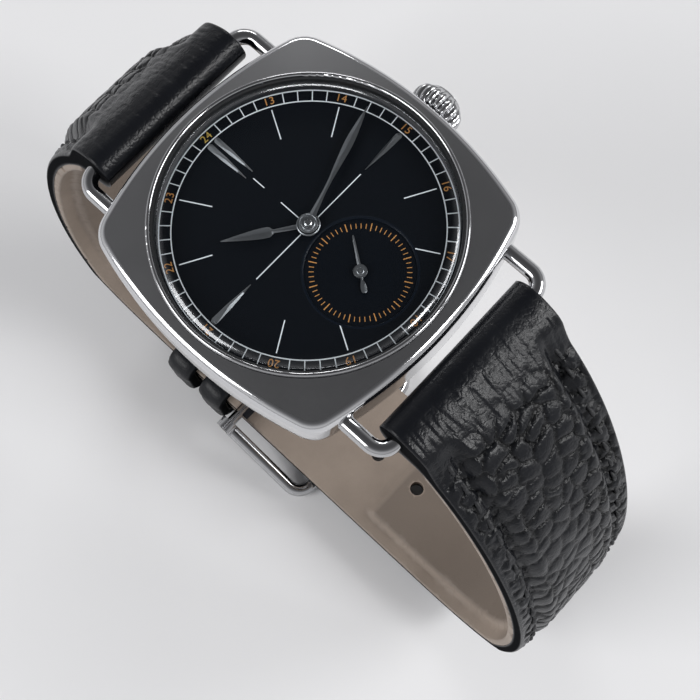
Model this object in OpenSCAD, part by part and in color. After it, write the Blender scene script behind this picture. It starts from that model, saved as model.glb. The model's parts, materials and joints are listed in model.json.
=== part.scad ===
// Automatic wristwatch with a cushion case, wire lugs and a buckled leather strap.
// Millimetres. +X is 3 o'clock, +Y is 12 o'clock and +Z leaves the dial.
// The origin is the centre of the case back's flat face, and the closed strap hangs below it.

/* [Case] */
// Width of the case between its bowed sides
case_w = 35.4; // [35:0.1:38]
// Radius of each bowed side
side_r = 48; // [38:1:60]
// Radius of the case's corners
corner_r = 3.4; // [2.8:0.1:4]
// Depth of the case below the dial
case_depth = 4.8; // [4.6:0.1:5.4]
// Height of the case's outer edge above the dial
case_edge = 1.3; // [1.2:0.05:1.6]
// Height of the case where it meets the bezel ring
case_top = 1.75; // [1.6:0.05:2.1]
// How far the rounded edge runs in from the side
edge_round = 0.9; // [0.8:0.1:1.5]
// Depth of the case back below the case
back_depth = 2.6; // [2.4:0.1:3.2]
// How far the case back stands in from the case's sides
back_inset = 1.5; // [1.1:0.1:1.8]

/* [Crystal] */
// Width of the case's top beside the bezel ring
case_land = 1.65; // [1.45:0.05:1.7]
// Thickness of the crystal's edge
crystal_edge = 1.1; // [0.9:0.1:1.4]
// Rise of the crystal's dome
dome_rise = 1.2; // [0.8:0.1:1.8]
// Width of the crystal's seal
seal_w = 0.2; // [0.15:0.05:0.3]
// Width of the bezel ring
bezel_w = 0.5; // [0.4:0.05:0.6]
// Height of the bezel ring above the dial
bezel_top = 2.3; // [2.2:0.05:2.6]

/* [Dial and hands] */
// Clearance of the dial inside the crystal's edge
dial_gap = 0.1; // [0.05:0.05:0.2]
// Thickness of the dial
dial_t = 0.4; // [0.3:0.05:0.5]
// Distance from the dial's centre to the small seconds
seconds_y = 7.05; // [6.95:0.05:7.2]
// Radius of the small seconds dial
seconds_dial_r = 5.8; // [5:0.1:5.9]
// Depth of the small seconds dial below the main dial
seconds_recess = 0.18; // [0.1:0.02:0.24]
// Distance from the dial's edge to the markers
marker_gap = 1.85; // [1.7:0.05:2.6]
// Length of an hour marker
marker_l = 5.1; // [4:0.1:5.5]
// Width of an hour marker
marker_w = 0.62; // [0.5:0.02:0.8]
// Length of the hour hand
hour_l = 8.9; // [8:0.1:10]
// Distance from the dial's edge to the minute hand's tip
minute_gap = 1.15; // [1:0.05:2]
// Length of the seconds hand
seconds_l = 3.9; // [3:0.1:4.2]
// Hour that the hands show
shown_h = 10; // [0:1:11]
// Minute that the hands show
shown_min = 12; // [0:1:59]
// Second that the hands show
shown_s = 6; // [0:1:59]

/* [Movement] */
// Radius of the movement
movement_r = 12.3; // [12.3:0.1:13]
// Thickness of the main plate
plate_t = 2.5; // [2.4:0.05:2.6]
// Height of the space for the gear train
train_h = 1.5; // [1.45:0.05:1.6]
// Thickness of the bridges
bridge_t = 0.6; // [0.5:0.05:0.7]
// Depth of the recess for the motion work
motion_h = 0.85; // [0.8:0.05:0.9]
// Radius of the train's arbors
arbor_r = 0.18; // [0.14:0.01:0.2]
// Radial clearance of a pivot in its hole
pivot_gap = 0.02; // [0.01:0.01:0.04]
// Thickness of a train wheel
wheel_t = 0.16; // [0.12:0.01:0.18]
// Radius of the balance wheel
balance_r = 4.3; // [3.8:0.1:4.4]
// Clearance of the rotor inside the case back
rotor_gap = 0.7; // [0.5:0.1:1.5]

/* [Crown] */
// Diameter of the crown over its flutes
crown_d = 6; // [5.4:0.1:6.4]
// Length of the crown
crown_l = 2.9; // [2.6:0.1:3.4]
// Number of flutes round the crown
crown_flutes = 18; // [14:1:20]
// Depth of the stem's axis below the dial
stem_depth = 2.6; // [2.55:0.05:2.65]
// Radius of the winding stem
stem_r = 0.45; // [0.4:0.01:0.48]

/* [Wire lugs] */
// Diameter of the lug wire
wire_d = 1.7; // [1.4:0.1:1.9]
// Distance from the case's side to the lug bar
lug_gap = 3.3; // [2.9:0.1:4.3]
// Depth of the lug bar below the dial
lug_depth = 1.5; // [1.3:0.1:1.8]
// Centre radius of the wire's bends
wire_bend = 1.85; // [1.7:0.05:2.2]

/* [Strap] */
// Width of the strap at the lugs
strap_w = 20; // [18:0.5:20]
// Width of the strap at the buckle
strap_end_w = 18; // [16:0.5:18]
// Thickness of the leather wrapped round the lug bar
wrap_t = 1.35; // [1.1:0.05:1.5]
// Thickness of the padded strap beside the lugs
pad_t = 3.8; // [3.4:0.1:4.2]
// Thickness of the short strap at the buckle
short_t = 2.8; // [2.6:0.1:3]
// Thickness of the long strap's tail
tail_t = 2.2; // [2:0.1:2.4]
// Thickness of the lining
lining_t = 0.9; // [0.7:0.05:1]
// Thickness of the strap along its stitched edges
edge_t = 2.3; // [2:0.1:2.4]
// Width of the flat stitched margin
margin_w = 3.2; // [2.4:0.1:4]
// Height of the lining's raised middle
bolster_t = 0.8; // [0.4:0.1:1]
// Width of the lining's flat margin
bolster_w = 2.6; // [2:0.1:3.4]
// Distance from the dial's centre to the end of the lining's raised middle
bolster_end = 18.6; // [18.5:0.1:20]
// Depth of the loop from the dial to the long strap's lining
loop_depth = 51.2; // [48:0.2:56]
// Sideways lean of the loop's floor
lean = 5.6; // [0:0.1:6]
// Distance from the dial's centre to the tail's tip
tail_reach = 25; // [23.5:0.5:27]
// Diameter of the strap's holes
hole_d = 1.9; // [1.8:0.1:2.2]
// Distance between the strap's holes
hole_pitch = 7.2; // [6.6:0.1:7.4]

/* [Buckle] */
// Thickness of the buckle's frame
frame_d = 1.8; // [1.5:0.1:2]
// Distance between the middles of the frame's rails
frame_w = 23; // [22:0.1:24]
// Distance from the dial's centre to the buckle's bar
bar_y = 3.6; // [3.4:0.1:4]
// Length of the buckle from its bar to its end
buckle_l = 14.4; // [13.8:0.1:15]
// Width of the tang
tang_w = 1.5; // [1.3:0.1:1.6]
// Length of each keeper along the strap
keeper_w = 4.2; // [3.6:0.1:4.4]

/* [Hidden] */
$fn = 96;

// Overrun of a cut past the face that it opens
cut = 0.02;
// Running clearance between turning pieces
run = 0.05;

// Radii of what the case holds, from its side inwards
bezel_r = case_w / 2 - case_land;
crystal_r = bezel_r - bezel_w - seal_w;
dial_r = crystal_r - dial_gap;
flange_r = dial_r + run;
bay_r = dial_r - 0.5;
back_r = case_w / 2 - back_inset;
back_wall_r = bay_r + 0.3;
back_t = 0.8;
rotor_r = back_wall_r - back_t - rotor_gap;
marker_r = dial_r - marker_gap;
minute_l = dial_r - minute_gap;
lug_reach = case_w / 2 + lug_gap;

// Heights above and below the dial's face
glass_seat = 0.95;
plate_top = -dial_t - 0.1;
plate_low = plate_top - plate_t;
bridge_top = plate_low - train_h;
bridge_low = bridge_top - bridge_t;
back_low = -case_depth - back_depth;

// The cushion outline: each side's arc and each corner's arc share a tangent
side_c = side_r - case_w / 2;
corner_c = (sqrt(2 * (side_r - corner_r) ^ 2 - side_c ^ 2) - side_c) / 2;

// Heights and insets of the case's outer skin, from its foot to its edge
skin = [
    [-case_depth, 0.9], [-case_depth + 0.5, 0.35], [-case_depth + 1.4, 0.05], [-1.2, 0],
    [case_edge - 1, 0.03], [case_edge - 0.5, edge_round * 0.2],
    [case_edge - 0.15, edge_round * 0.5], [case_edge, edge_round]
];

// Heights of the layers at the loop's floor, from the surface that the strap rests on
layer_gap = 0.3;
frame_gap = 0.2;
dial_z = -back_low;
tail_top = dial_z - loop_depth;
tail_low = tail_top - tail_t;
rest_z = tail_low - frame_gap - frame_d;
short_low = tail_top + layer_gap;
short_top = short_low + short_t;
wire_r = wire_d / 2;
lug_z = dial_z - lug_depth;
lug_half = strap_w / 2 + 0.05 + wire_bend;

// Inner sides of the loop: control points from the lug bar to the loop's floor
short_z = short_low + short_t / 2;
tail_z = tail_low + tail_t / 2;
bow_z = lug_z - 4.5;
long_curve = [
    [-lug_reach, lug_z], [-lug_reach - 19, bow_z], [-lug_reach - 36, tail_z], [-lug_reach - 9, tail_z]
];
short_curve = [
    [-lug_reach, lug_z], [-lug_reach - 13, bow_z], [-lug_reach - 25, short_z], [-lug_reach + 3, short_z]
];
loop_steps = 26;
short_run = -short_curve[3][0] - bar_y;
long_run = tail_reach - long_curve[3][0];
foot_z = tail_low + 9;

// Gear train: teeth, modules and the places of the arbors
barrel_teeth = 84;
centre_pinion_teeth = 12;
centre_teeth = 60;
third_teeth = 64;
fourth_teeth = 80;
leaf_teeth = 8;
escape_teeth = 15;
barrel_m = 0.13;
centre_m = 0.13;
third_m = 0.1;
fourth_m = 0.08;
addendum = 0.7;
dedendum = 1;
centre_at = [0, 0];
fourth_at = [0, -seconds_y];
barrel_d = barrel_m * (barrel_teeth + centre_pinion_teeth) / 2;
barrel_at = barrel_d * [cos(75), sin(75)];
third_d = centre_m * (centre_teeth + leaf_teeth) / 2;
third_to_fourth = third_m * (third_teeth + leaf_teeth) / 2;
third_y = (third_d ^ 2 - third_to_fourth ^ 2 + seconds_y ^ 2) / (2 * seconds_y);
third_at = [sqrt(third_d ^ 2 - third_y ^ 2), -third_y];
escape_d = fourth_m * (fourth_teeth + leaf_teeth) / 2;
escape_at = fourth_at + escape_d * [cos(200), sin(200)];
escape_r = 2.1;
balance_at = [-7.2, -1.5];
pallet_d = 2.5;
pallet_at = escape_at + pallet_d * (balance_at - escape_at) / norm(balance_at - escape_at);
fork_l = norm(balance_at - pallet_at);

// Levels of the train below the main plate
level_a = plate_low - 0.15 - wheel_t;
level_b = level_a - 0.25 - wheel_t;
level_c = level_b - 0.25 - wheel_t;
barrel_high = level_a - 0.15;
barrel_low = bridge_top + 0.08;

// Motion work under the dial
motion_d = 2.88;
cannon_teeth = 12;
minute_teeth = 36;
minute_leaf_teeth = 10;
hour_teeth = 40;
motion_m = 2 * motion_d / (cannon_teeth + minute_teeth);
hour_m = 2 * motion_d / (minute_leaf_teeth + hour_teeth);
minute_at = motion_d * [cos(-40), sin(-40)];
motion_low = plate_top - motion_h;
pipe_r = 0.72;
cannon_r = 0.42;
centre_arbor_r = 0.24;
seconds_arbor_r = 0.15;

// Heights of the hands
hand_t = 0.12;
hour_hand_z = 0.5;
minute_hand_z = 0.82;
seconds_hand_z = 0.06;

// Keyless work: the winding pinion turns the crown wheel, which turns the ratchet wheel
stem_z = -stem_depth;
pinion_teeth = 12;
pinion_r = 1.35;
contrate_teeth = 20;
contrate_r = 2.2;
crown_teeth = 56;
ratchet_teeth = 64;
ratchet_m = 0.14;
ratchet_d = ratchet_m * (crown_teeth + ratchet_teeth) / 2;
crown_wheel_at = [barrel_at[0] + sqrt(ratchet_d ^ 2 - barrel_at[1] ^ 2), 0];
pinion_x = crown_wheel_at[0] + contrate_r;
click_at = barrel_at + (ratchet_m * (ratchet_teeth / 2 + addendum) + 1) * [cos(150), sin(150)];
contrate_top = stem_z - pinion_r + 0.2;
stem_start = pinion_x - 1.2;
ratchet_high = bridge_low - 0.06;
ratchet_low = ratchet_high - 0.24;

// Crown and its tube
tube_r = 1.2;
tube_bore = stem_r + run;
crown_x = case_w / 2 + 0.45;
crown_r = crown_d / 2;

// Rotor
rotor_high = ratchet_low - 0.22;
rotor_t = 0.75;
post_r = 0.9;

// Keepers and buckle
keeper_gap = 0.2;
keeper_low = tail_low - keeper_gap;
keeper_t = keeper_low - rest_z;
keeper_half = strap_end_w / 2 + keeper_gap;
bar_z = short_z;
bar_r = 0.7;
frame_half = frame_w / 2;
frame_bend = 2.2;
eye_w = frame_d - 0.3;
frame_drop = bar_z - rest_z - frame_d / 2;
frame_tilt = asin(frame_drop / buckle_l);
slot_l = 4.8;
slot_at = 3.6;

// Shared shapes

module at_dial() {
    translate([0, 0, dial_z]) children();
}

// A ring with its foot at the given height
module ring(r_out, r_in, low, high) {
    translate([0, 0, low]) difference() {
        cylinder(r = r_out, h = high - low);
        translate([0, 0, -cut]) cylinder(r = r_in, h = high - low + 2 * cut);
    }
}

// A disc with its foot at the given height
module disc(r, low, high) {
    translate([0, 0, low]) cylinder(r = r, h = high - low);
}

// The case's outline, drawn in by the inset
module cushion(inset) {
    touch = [0, -side_c] + [corner_c, corner_c + side_c] / (side_r - corner_r) * (side_r - inset);
    intersection() {
        for_sides(inset);
        rotate(45) square((touch[0] + touch[1]) * sqrt(2), center = true);
    }
    for (a = [0:90:270]) rotate(a) translate([corner_c, corner_c]) circle(r = corner_r - inset, $fn = 48);
}

module for_sides(inset) {
    intersection() {
        translate([0, -side_c]) circle(r = side_r - inset, $fn = 180);
        translate([0, side_c]) circle(r = side_r - inset, $fn = 180);
        translate([-side_c, 0]) circle(r = side_r - inset, $fn = 180);
        translate([side_c, 0]) circle(r = side_r - inset, $fn = 180);
    }
}

// Four points a tooth: the root's far side, the tip's two sides and the next root
function tooth_ring(teeth, m, at) = [
    for (i = [0:teeth - 1], k = [0:3])
        let (
            turn = at + 360 / teeth * (i + [-0.3, -0.12, 0.12, 0.3][k]),
            r = m * (teeth / 2 + (k == 0 || k == 3 ? -dedendum : addendum))
        )
        r * [cos(turn), sin(turn)]
];

// Pointed teeth that lean one way, as on an escape wheel
function hooked_ring(teeth, r, depth) = [
    for (i = [0:teeth - 1], k = [0:2])
        let (turn = 360 / teeth * (i + [0, 0.12, 0.32][k]), reach = [r - depth, r, r - depth][k])
        reach * [cos(turn), sin(turn)]
];

function bearing(from, to) = atan2(to[1] - from[1], to[0] - from[0]);

// A spoked wheel around a hub, from an outline of teeth
module spoked(outline, rim_r, hub_r, spokes, spoke_w) {
    difference() {
        polygon(outline);
        circle(r = rim_r);
    }
    intersection() {
        circle(r = rim_r + 0.05);
        union() {
            circle(r = hub_r);
            for (i = [0:spokes - 1]) rotate(360 / spokes * i) translate([0, -spoke_w / 2]) square([rim_r + 0.05, spoke_w]);
        }
    }
}

module wheel_at(place, low, t = wheel_t) {
    translate([place[0], place[1], low]) linear_extrude(t) children();
}

// Loop geometry: a station is a point, its heading and its share of the curve
function curve_point(p, t) =
    (1 - t) ^ 3 * p[0] + 3 * (1 - t) ^ 2 * t * p[1] + 3 * (1 - t) * t ^ 2 * p[2] + t ^ 3 * p[3];
function curve_slope(p, t) =
    3 * (1 - t) ^ 2 * (p[1] - p[0]) + 6 * (1 - t) * t * (p[2] - p[1]) + 3 * t ^ 2 * (p[3] - p[2]);
function station(p, t) = let (d = curve_slope(p, t)) [curve_point(p, t), d / norm(d), t];
function stations(p, run_l, first) = concat(
    [for (i = [first:loop_steps]) station(p, i / loop_steps)],
    [[p[3] + [run_l, 0], [1, 0], 1]]
);
function outward(s) = [s[1][1], -s[1][0]];

// One layer of the strap: offsets from the centre line, at the lug and at the end
module layer(route, low, high, w) {
    n = len(route) - 1;
    under = [for (s = route) s[0] + outward(s) * (low[0] + (low[1] - low[0]) * s[2])];
    over = [for (i = [n:-1:0]) route[i][0] + outward(route[i]) * (high[0] + (high[1] - high[0]) * route[i][2])];
    rotate([90, 0, 90]) linear_extrude(w, center = true) polygon(concat(under, over));
}

// The strap's front outline, which narrows and leans towards the floor
module front_outline(inset) {
    top = strap_w / 2 - inset;
    foot = strap_end_w / 2 - inset;
    rotate([90, 0, 0]) linear_extrude(140, center = true) polygon([
        [-top, dial_z + 10], [-top, lug_z], [-foot - lean, foot_z], [-foot - lean, rest_z],
        [foot - lean, rest_z], [foot - lean, foot_z], [top, lug_z], [top, dial_z + 10]
    ]);
}

// Leather with a flat stitched margin and a padded middle, wrapped round the lug bar
module strap_leather(p, run_l, end_t) {
    route = stations(p, run_l, 0);
    inner = [lining_t - pad_t / 2, lining_t - end_t / 2];
    edge = [edge_t - pad_t / 2, min(edge_t, end_t) - end_t / 2];
    full = [pad_t / 2, end_t / 2];
    difference() {
        union() {
            for (b = [[0, 0], [margin_w * 0.7, 0.6], [margin_w, 1]]) intersection() {
                layer(route, inner, edge + (full - edge) * b[1], 60);
                front_outline(b[0]);
            }
            intersection() {
                translate([0, -lug_reach, lug_z]) rotate([0, 90, 0]) cylinder(r = wire_r + wrap_t, h = strap_w, center = true);
                front_outline(0);
            }
        }
        lug_bore();
    }
}

// The lining, with a raised middle that ends where the strap turns thin
module strap_lining(p, run_l, end_t) {
    inner = [-pad_t / 2, -end_t / 2];
    intersection() {
        layer(stations(p, run_l, 3), inner, inner + [lining_t, lining_t], 60);
        front_outline(0);
    }
    intersection() {
        layer(stations(p, run_l, 4), inner - [bolster_t, bolster_t], inner + [0.1, 0.1], 60);
        front_outline(bolster_w);
        translate([-50, -bolster_end - 100, rest_z]) cube([100, 100, 100]);
    }
}

module lug_bore() {
    translate([0, -lug_reach, lug_z]) rotate([0, 90, 0]) cylinder(r = wire_r + run, h = 60, center = true);
}

// Keeps the long strap inside its rounded tail
module tail_outline() {
    middle = tail_reach - strap_end_w / 2;
    translate([-lean, middle, rest_z]) {
        translate([-strap_w, -120, 0]) cube([2 * strap_w, 120, 100]);
        cylinder(r = strap_end_w / 2, h = 100);
    }
}

// Holes through the tail: a slot for the tang in use and round holes either way
module tail_holes() {
    depth = tail_t + bolster_t + 2 * cut;
    translate([-lean, bar_y - slot_at, tail_low - cut]) {
        for (i = [-3, -2, -1, 1, 2]) translate([0, i * hole_pitch, 0]) cylinder(d = hole_d, h = depth);
        for (s = [-1, 1]) translate([0, s * (slot_l - hole_d) / 2, 0]) cylinder(d = hole_d, h = depth);
        translate([-hole_d / 2, -(slot_l - hole_d) / 2, 0]) cube([hole_d, slot_l - hole_d, depth]);
    }
}

// A hand or marker outline, drawn along +Y, with both edges mirrored
module bilateral(half) {
    n = len(half) - 1;
    polygon(concat(half, [for (i = [n:-1:0]) [-half[i][0], half[i][1]]]));
}

// Case

module case_middle() {
    color("silver") at_dial() difference() {
        hull() {
            for (s = skin) translate([0, 0, s[0]]) linear_extrude(0.01) cushion(s[1]);
            disc(bezel_r + 0.05, case_edge, case_top);
        }
        disc(bay_r, -case_depth - cut, -dial_t);
        disc(flange_r, -dial_t - cut, glass_seat + cut);
        disc(bezel_r, glass_seat, case_top + 1);
        disc(seal_groove_r, -case_depth - cut, -case_depth + seal_groove_h);
        translate([bay_r - 1, 0, stem_z]) rotate([0, 90, 0]) cylinder(r = tube_r, h = 6);
        for (x = [-lug_half, lug_half], s = [-1, 1]) translate([x, s * wire_foot, -lug_depth])
            rotate([-90 * s, 0, 0]) cylinder(r = wire_r, h = 6);
    }
}

seal_groove_r = bay_r + 0.7;
seal_groove_h = 0.45;
wire_foot = case_w / 2 - 3;

module bezel_ring() {
    mid = bezel_r - bezel_w / 2;
    color("gainsboro") at_dial() rotate_extrude() {
        translate([mid - bezel_w / 2, glass_seat]) square([bezel_w, bezel_top - bezel_w / 2 - glass_seat]);
        translate([mid, bezel_top - bezel_w / 2]) circle(r = bezel_w / 2, $fn = 32);
    }
}

module crystal() {
    rim = crystal_r - 0.6;
    outer_r = (crystal_r ^ 2 + dome_rise ^ 2) / (2 * dome_rise);
    inner_r = (rim ^ 2 + dome_rise ^ 2) / (2 * dome_rise);
    color([0.8, 0.9, 0.95, 0.3]) at_dial() difference() {
        intersection() {
            disc(crystal_r, glass_seat, glass_seat + crystal_edge + dome_rise);
            translate([0, 0, glass_seat + crystal_edge + dome_rise - outer_r]) sphere(r = outer_r, $fn = 360);
        }
        translate([0, 0, glass_seat + dome_rise - inner_r]) sphere(r = inner_r, $fn = 360);
    }
}

module crystal_seal() {
    color("ivory") at_dial() ring(crystal_r + seal_w, crystal_r, glass_seat, glass_seat + crystal_edge - 0.2);
}

module inner_flange() {
    color("black") at_dial() rotate_extrude() polygon([
        [dial_r - 0.12, 0], [flange_r, 0], [flange_r, glass_seat], [dial_r - 0.1, glass_seat]
    ]);
}

module case_back() {
    color("silver") at_dial() difference() {
        union() {
            disc(back_r, -case_depth - 0.8, -case_depth);
            disc(back_wall_r, back_low + 0.3, -case_depth - 0.7);
            disc(back_wall_r - 0.6, back_low, back_low + 0.4);
        }
        disc(back_wall_r - back_t, back_low + back_t, -case_depth + cut);
        for (i = [0:5]) rotate(60 * i + 30) translate([back_r, 0, -case_depth - 1])
            cylinder(r = 0.7, h = 0.7);
    }
}

module back_seal() {
    color("black") at_dial() ring(seal_groove_r, bay_r + 0.1, -case_depth, -case_depth + seal_groove_h);
}

// Dial and hands

dial_feet = [[-9.4, 5.2], [8.2, -8.2]];
foot_r = 0.35;

module dial() {
    color([0.03, 0.04, 0.06]) at_dial() {
        difference() {
            disc(dial_r, -dial_t, 0);
            disc(pipe_r + 0.12, -dial_t - cut, cut);
            translate([0, -seconds_y, 0]) disc(seconds_dial_r, -dial_t - cut, cut);
        }
        for (f = dial_feet) translate([f[0], f[1], 0]) disc(foot_r, plate_top - 0.9, -dial_t);
    }
}

module seconds_dial() {
    color([0.05, 0.06, 0.08]) at_dial() translate([0, -seconds_y, 0])
        ring(seconds_dial_r, seconds_arbor_r + 0.12, -dial_t, -seconds_recess);
}

// A rounded outer end that tapers to a point towards the centre
module marker(w) {
    round_end = [for (i = [0:6]) w / 2 * [sin(i * 15), cos(i * 15)] + [0, marker_r - w / 2]];
    bilateral(concat(round_end, [[w * 0.42, marker_r - marker_l * 0.45], [0.04, marker_r - marker_l]]));
}

module hour_markers() {
    color("gainsboro") at_dial() linear_extrude(0.2) {
        for (x = [-0.46, 0.46]) translate([x, 0]) marker(marker_w * 0.85);
        for (a = [-90, 90]) rotate(a) marker(marker_w);
    }
}

minute_turn = -6 * shown_min;
hour_turn = -30 * shown_h - shown_min / 2;
seconds_turn = -6 * shown_s;

module hour_hand() {
    arm = 0.2;
    color("lightgray") at_dial() rotate(hour_turn) difference() {
        union() {
            translate([0, 0, hour_hand_z]) linear_extrude(hand_t) {
                circle(r = 1.05, $fn = 48);
                bilateral([[arm * 1.6, 0], [arm, 3.2], [0.36, 3.9], [0.62, hour_l * 0.63], [0.05, hour_l]]);
            }
            disc(1.05, hour_hand_z - 0.08, hour_hand_z + 0.2);
        }
        disc(pipe_r, -1, 1.2);
    }
}

module minute_hand() {
    color("lightgray") at_dial() rotate(minute_turn) difference() {
        union() {
            translate([0, 0, minute_hand_z]) linear_extrude(hand_t) {
                circle(r = 0.9, $fn = 48);
                bilateral([
                    [0.34, 0], [0.18, 3.2], [0.2, minute_l * 0.52], [0.5, minute_l * 0.7], [0.04, minute_l]
                ]);
            }
            disc(0.9, minute_hand_z - 0.08, minute_hand_z + 0.2);
        }
        disc(cannon_r, -1, 2);
    }
}

module seconds_hand() {
    tail = 2.3;
    color("lightgray") at_dial() translate([0, -seconds_y, 0]) rotate(seconds_turn) difference() {
        union() {
            translate([0, 0, seconds_hand_z]) linear_extrude(hand_t) {
                circle(r = 0.5, $fn = 32);
                bilateral([[0.12, 0], [0.11, seconds_l - 0.3], [0.04, seconds_l]]);
                bilateral([[0.1, 0], [0.1, -0.8], [0.28, -1.5], [0.24, -tail + 0.2], [0.1, -tail]]);
            }
            disc(0.5, seconds_hand_z - 0.08, seconds_hand_z + 0.26);
        }
        disc(seconds_arbor_r, -1, 0.26);
    }
}

// Movement

module movement_ring() {
    color("gray") at_dial() difference() {
        ring(bay_r - pivot_gap, movement_r + pivot_gap, -case_depth, -dial_t);
        translate([movement_r - 1, 0, stem_z]) rotate([0, 90, 0]) cylinder(r = stem_r + 0.3, h = bay_r);
    }
}

module arbor_hole(place, r, low, high) {
    translate([place[0], place[1], 0]) disc(r + pivot_gap, low, high);
}

module main_plate() {
    color("goldenrod") at_dial() translate([minute_at[0], minute_at[1], 0]) disc(0.2, motion_low - 0.1, plate_top - 0.08);
    color("goldenrod") at_dial() difference() {
        disc(movement_r, plate_low, plate_top);
        disc(3.2, motion_low, plate_top + cut);
        translate([minute_at[0], minute_at[1], 0]) disc(2.6, motion_low, plate_top + cut);
        arbor_hole(centre_at, centre_arbor_r, plate_low - cut, plate_top);
        arbor_hole(fourth_at, seconds_arbor_r, plate_low - cut, plate_top + cut);
        for (p = [third_at, escape_at, pallet_at, balance_at]) arbor_hole(p, arbor_r, plate_low - cut, plate_low + 0.6);
        arbor_hole(barrel_at, 0.5, plate_low - cut, plate_low + 0.8);
        for (f = dial_feet) translate([f[0], f[1], 0]) disc(foot_r + 0.03, plate_top - 1, plate_top + cut);
        translate([stem_start - 0.2, 0, stem_z]) rotate([0, 90, 0]) cylinder(r = tube_bore, h = 10);
        translate([pinion_x - 0.65, -1.7, plate_low - cut]) cube([1.3, 3.4, plate_t - 0.5]);
        translate([crown_wheel_at[0], 0, 0]) ring(contrate_r + 0.5, contrate_r - 0.5, plate_low - cut, plate_low + 0.1);
        for (p = screw_places) translate([p[0], p[1], 0]) disc(screw_r, plate_low - cut, plate_low + 1);
    }
}

screw_r = 0.35;
screw_head_r = 0.75;
barrel_screws = [[-6.6, 7.8], [8.9, 6.4]];
train_screws = [[9.9, -4.4], [4.4, -9.8]];
cock_screws = [[-10.6, 3.1]];
cock_foot_r = 1.2;
screw_places = concat(barrel_screws, train_screws, cock_screws);

// The upper bridge spans the barrel; the lower bridge spans the train
module barrel_bridge() {
    color("silver") at_dial() difference() {
        intersection() {
            disc(movement_r, bridge_top - bridge_t, plate_low);
            translate([-movement_r, 2.2, bridge_low - 1]) cube([2 * movement_r, movement_r, 9]);
        }
        translate([barrel_at[0], barrel_at[1], 0]) disc(barrel_r + 0.25, bridge_top, plate_low + cut);
        disc(centre_r + 0.25, bridge_top, plate_low + cut);
        translate([balance_at[0], balance_at[1], 0]) disc(balance_r + 0.5, bridge_low - cut, plate_low + cut);
        for (f = cock_screws) {
            translate([f[0], f[1], 0]) disc(cock_foot_r + 0.1, bridge_low - cut, plate_low + cut);
            translate([-movement_r - 1, 0, bridge_low - 1]) cube([movement_r + 1 + f[0], f[1] + cock_foot_r + 0.1, 9]);
        }
        translate([crown_wheel_at[0], 0, 0]) disc(contrate_r + 0.75, bridge_low - cut, plate_low + cut);
        arbor_hole(barrel_at, 0.5, bridge_low - cut, bridge_top + cut);
        for (p = barrel_screws) translate([p[0], p[1], 0]) disc(screw_r, bridge_low - cut, plate_low + cut);
    }
}

barrel_r = barrel_m * (barrel_teeth / 2 + addendum);
centre_r = centre_m * (centre_teeth / 2 + addendum);

module train_bridge() {
    color("silver") at_dial() difference() {
        union() {
            intersection() {
                disc(movement_r, bridge_low, bridge_top);
                union() {
                    translate([-1.2, -movement_r, bridge_low - 1]) cube([movement_r + 1.2, movement_r + 1.9, 9]);
                    translate([-6.6, -movement_r, bridge_low - 1]) cube([6, 7, 9]);
                }
            }
            for (p = train_screws) translate([p[0], p[1], 0]) disc(1.3, bridge_low, plate_low);
        }
        translate([balance_at[0], balance_at[1], 0]) disc(balance_r + 0.5, bridge_low - cut, plate_low);
        translate([crown_wheel_at[0], 0, 0]) disc(contrate_r + 0.75, bridge_low - cut, bridge_top + cut);
        arbor_hole(centre_at, centre_arbor_r, bridge_low - cut, bridge_top + cut);
        for (p = [third_at, escape_at, pallet_at]) arbor_hole(p, arbor_r, bridge_low - cut, bridge_top + cut);
        arbor_hole(fourth_at, seconds_arbor_r, bridge_low - cut, bridge_top + cut);
        for (p = train_screws) translate([p[0], p[1], 0]) disc(screw_r, bridge_low - cut, plate_low + cut);
    }
}

// An arm from the screw at the movement's edge to the balance's pivot
module balance_cock() {
    foot = cock_screws[0];
    turn = bearing(foot, balance_at);
    reach = norm(balance_at - foot);
    color("silver") at_dial() difference() {
        union() {
            translate([foot[0], foot[1], 0]) disc(cock_foot_r, bridge_low, plate_low);
            translate([balance_at[0], balance_at[1], 0]) disc(1.1, bridge_low, bridge_top);
            translate([foot[0], foot[1], bridge_low]) rotate(turn) translate([0, -0.9, 0]) cube([reach, 1.8, bridge_t]);
        }
        arbor_hole(balance_at, arbor_r, bridge_low - cut, bridge_top + cut);
        translate([foot[0], foot[1], 0]) disc(screw_r, bridge_low - cut, plate_low + cut);
    }
}

module bridge_screws() {
    color("steelblue") at_dial() for (p = screw_places) translate([p[0], p[1], 0]) difference() {
        union() {
            disc(screw_r, bridge_low, plate_low + 0.9);
            disc(screw_head_r, bridge_low - 0.18, bridge_low);
        }
        translate([-1, -0.08, bridge_low - 0.18 - cut]) cube([2, 0.16, 0.1]);
    }
}

module cannon_pinion() {
    color("lightgray") at_dial() difference() {
        union() {
            disc(cannon_r, motion_low, minute_hand_z + 0.24);
            wheel_at(centre_at, motion_low + 0.04, 0.26) polygon(tooth_ring(cannon_teeth, motion_m, bearing(centre_at, minute_at) + 15));
        }
        disc(centre_arbor_r + pivot_gap, motion_low - cut, minute_hand_z + 0.1);
    }
}

module minute_wheel() {
    color("gold") at_dial() difference() {
        union() {
            wheel_at(minute_at, motion_low + 0.1, 0.16) spoked(
                tooth_ring(minute_teeth, motion_m, bearing(minute_at, centre_at)), 1.6, 0.75, 4, 0.35
            );
            wheel_at(minute_at, motion_low + 0.26, 0.5)
                polygon(tooth_ring(minute_leaf_teeth, hour_m, bearing(minute_at, centre_at)));
        }
        translate([minute_at[0], minute_at[1], 0]) disc(0.22, motion_low, plate_top + 1);
    }
}

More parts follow.
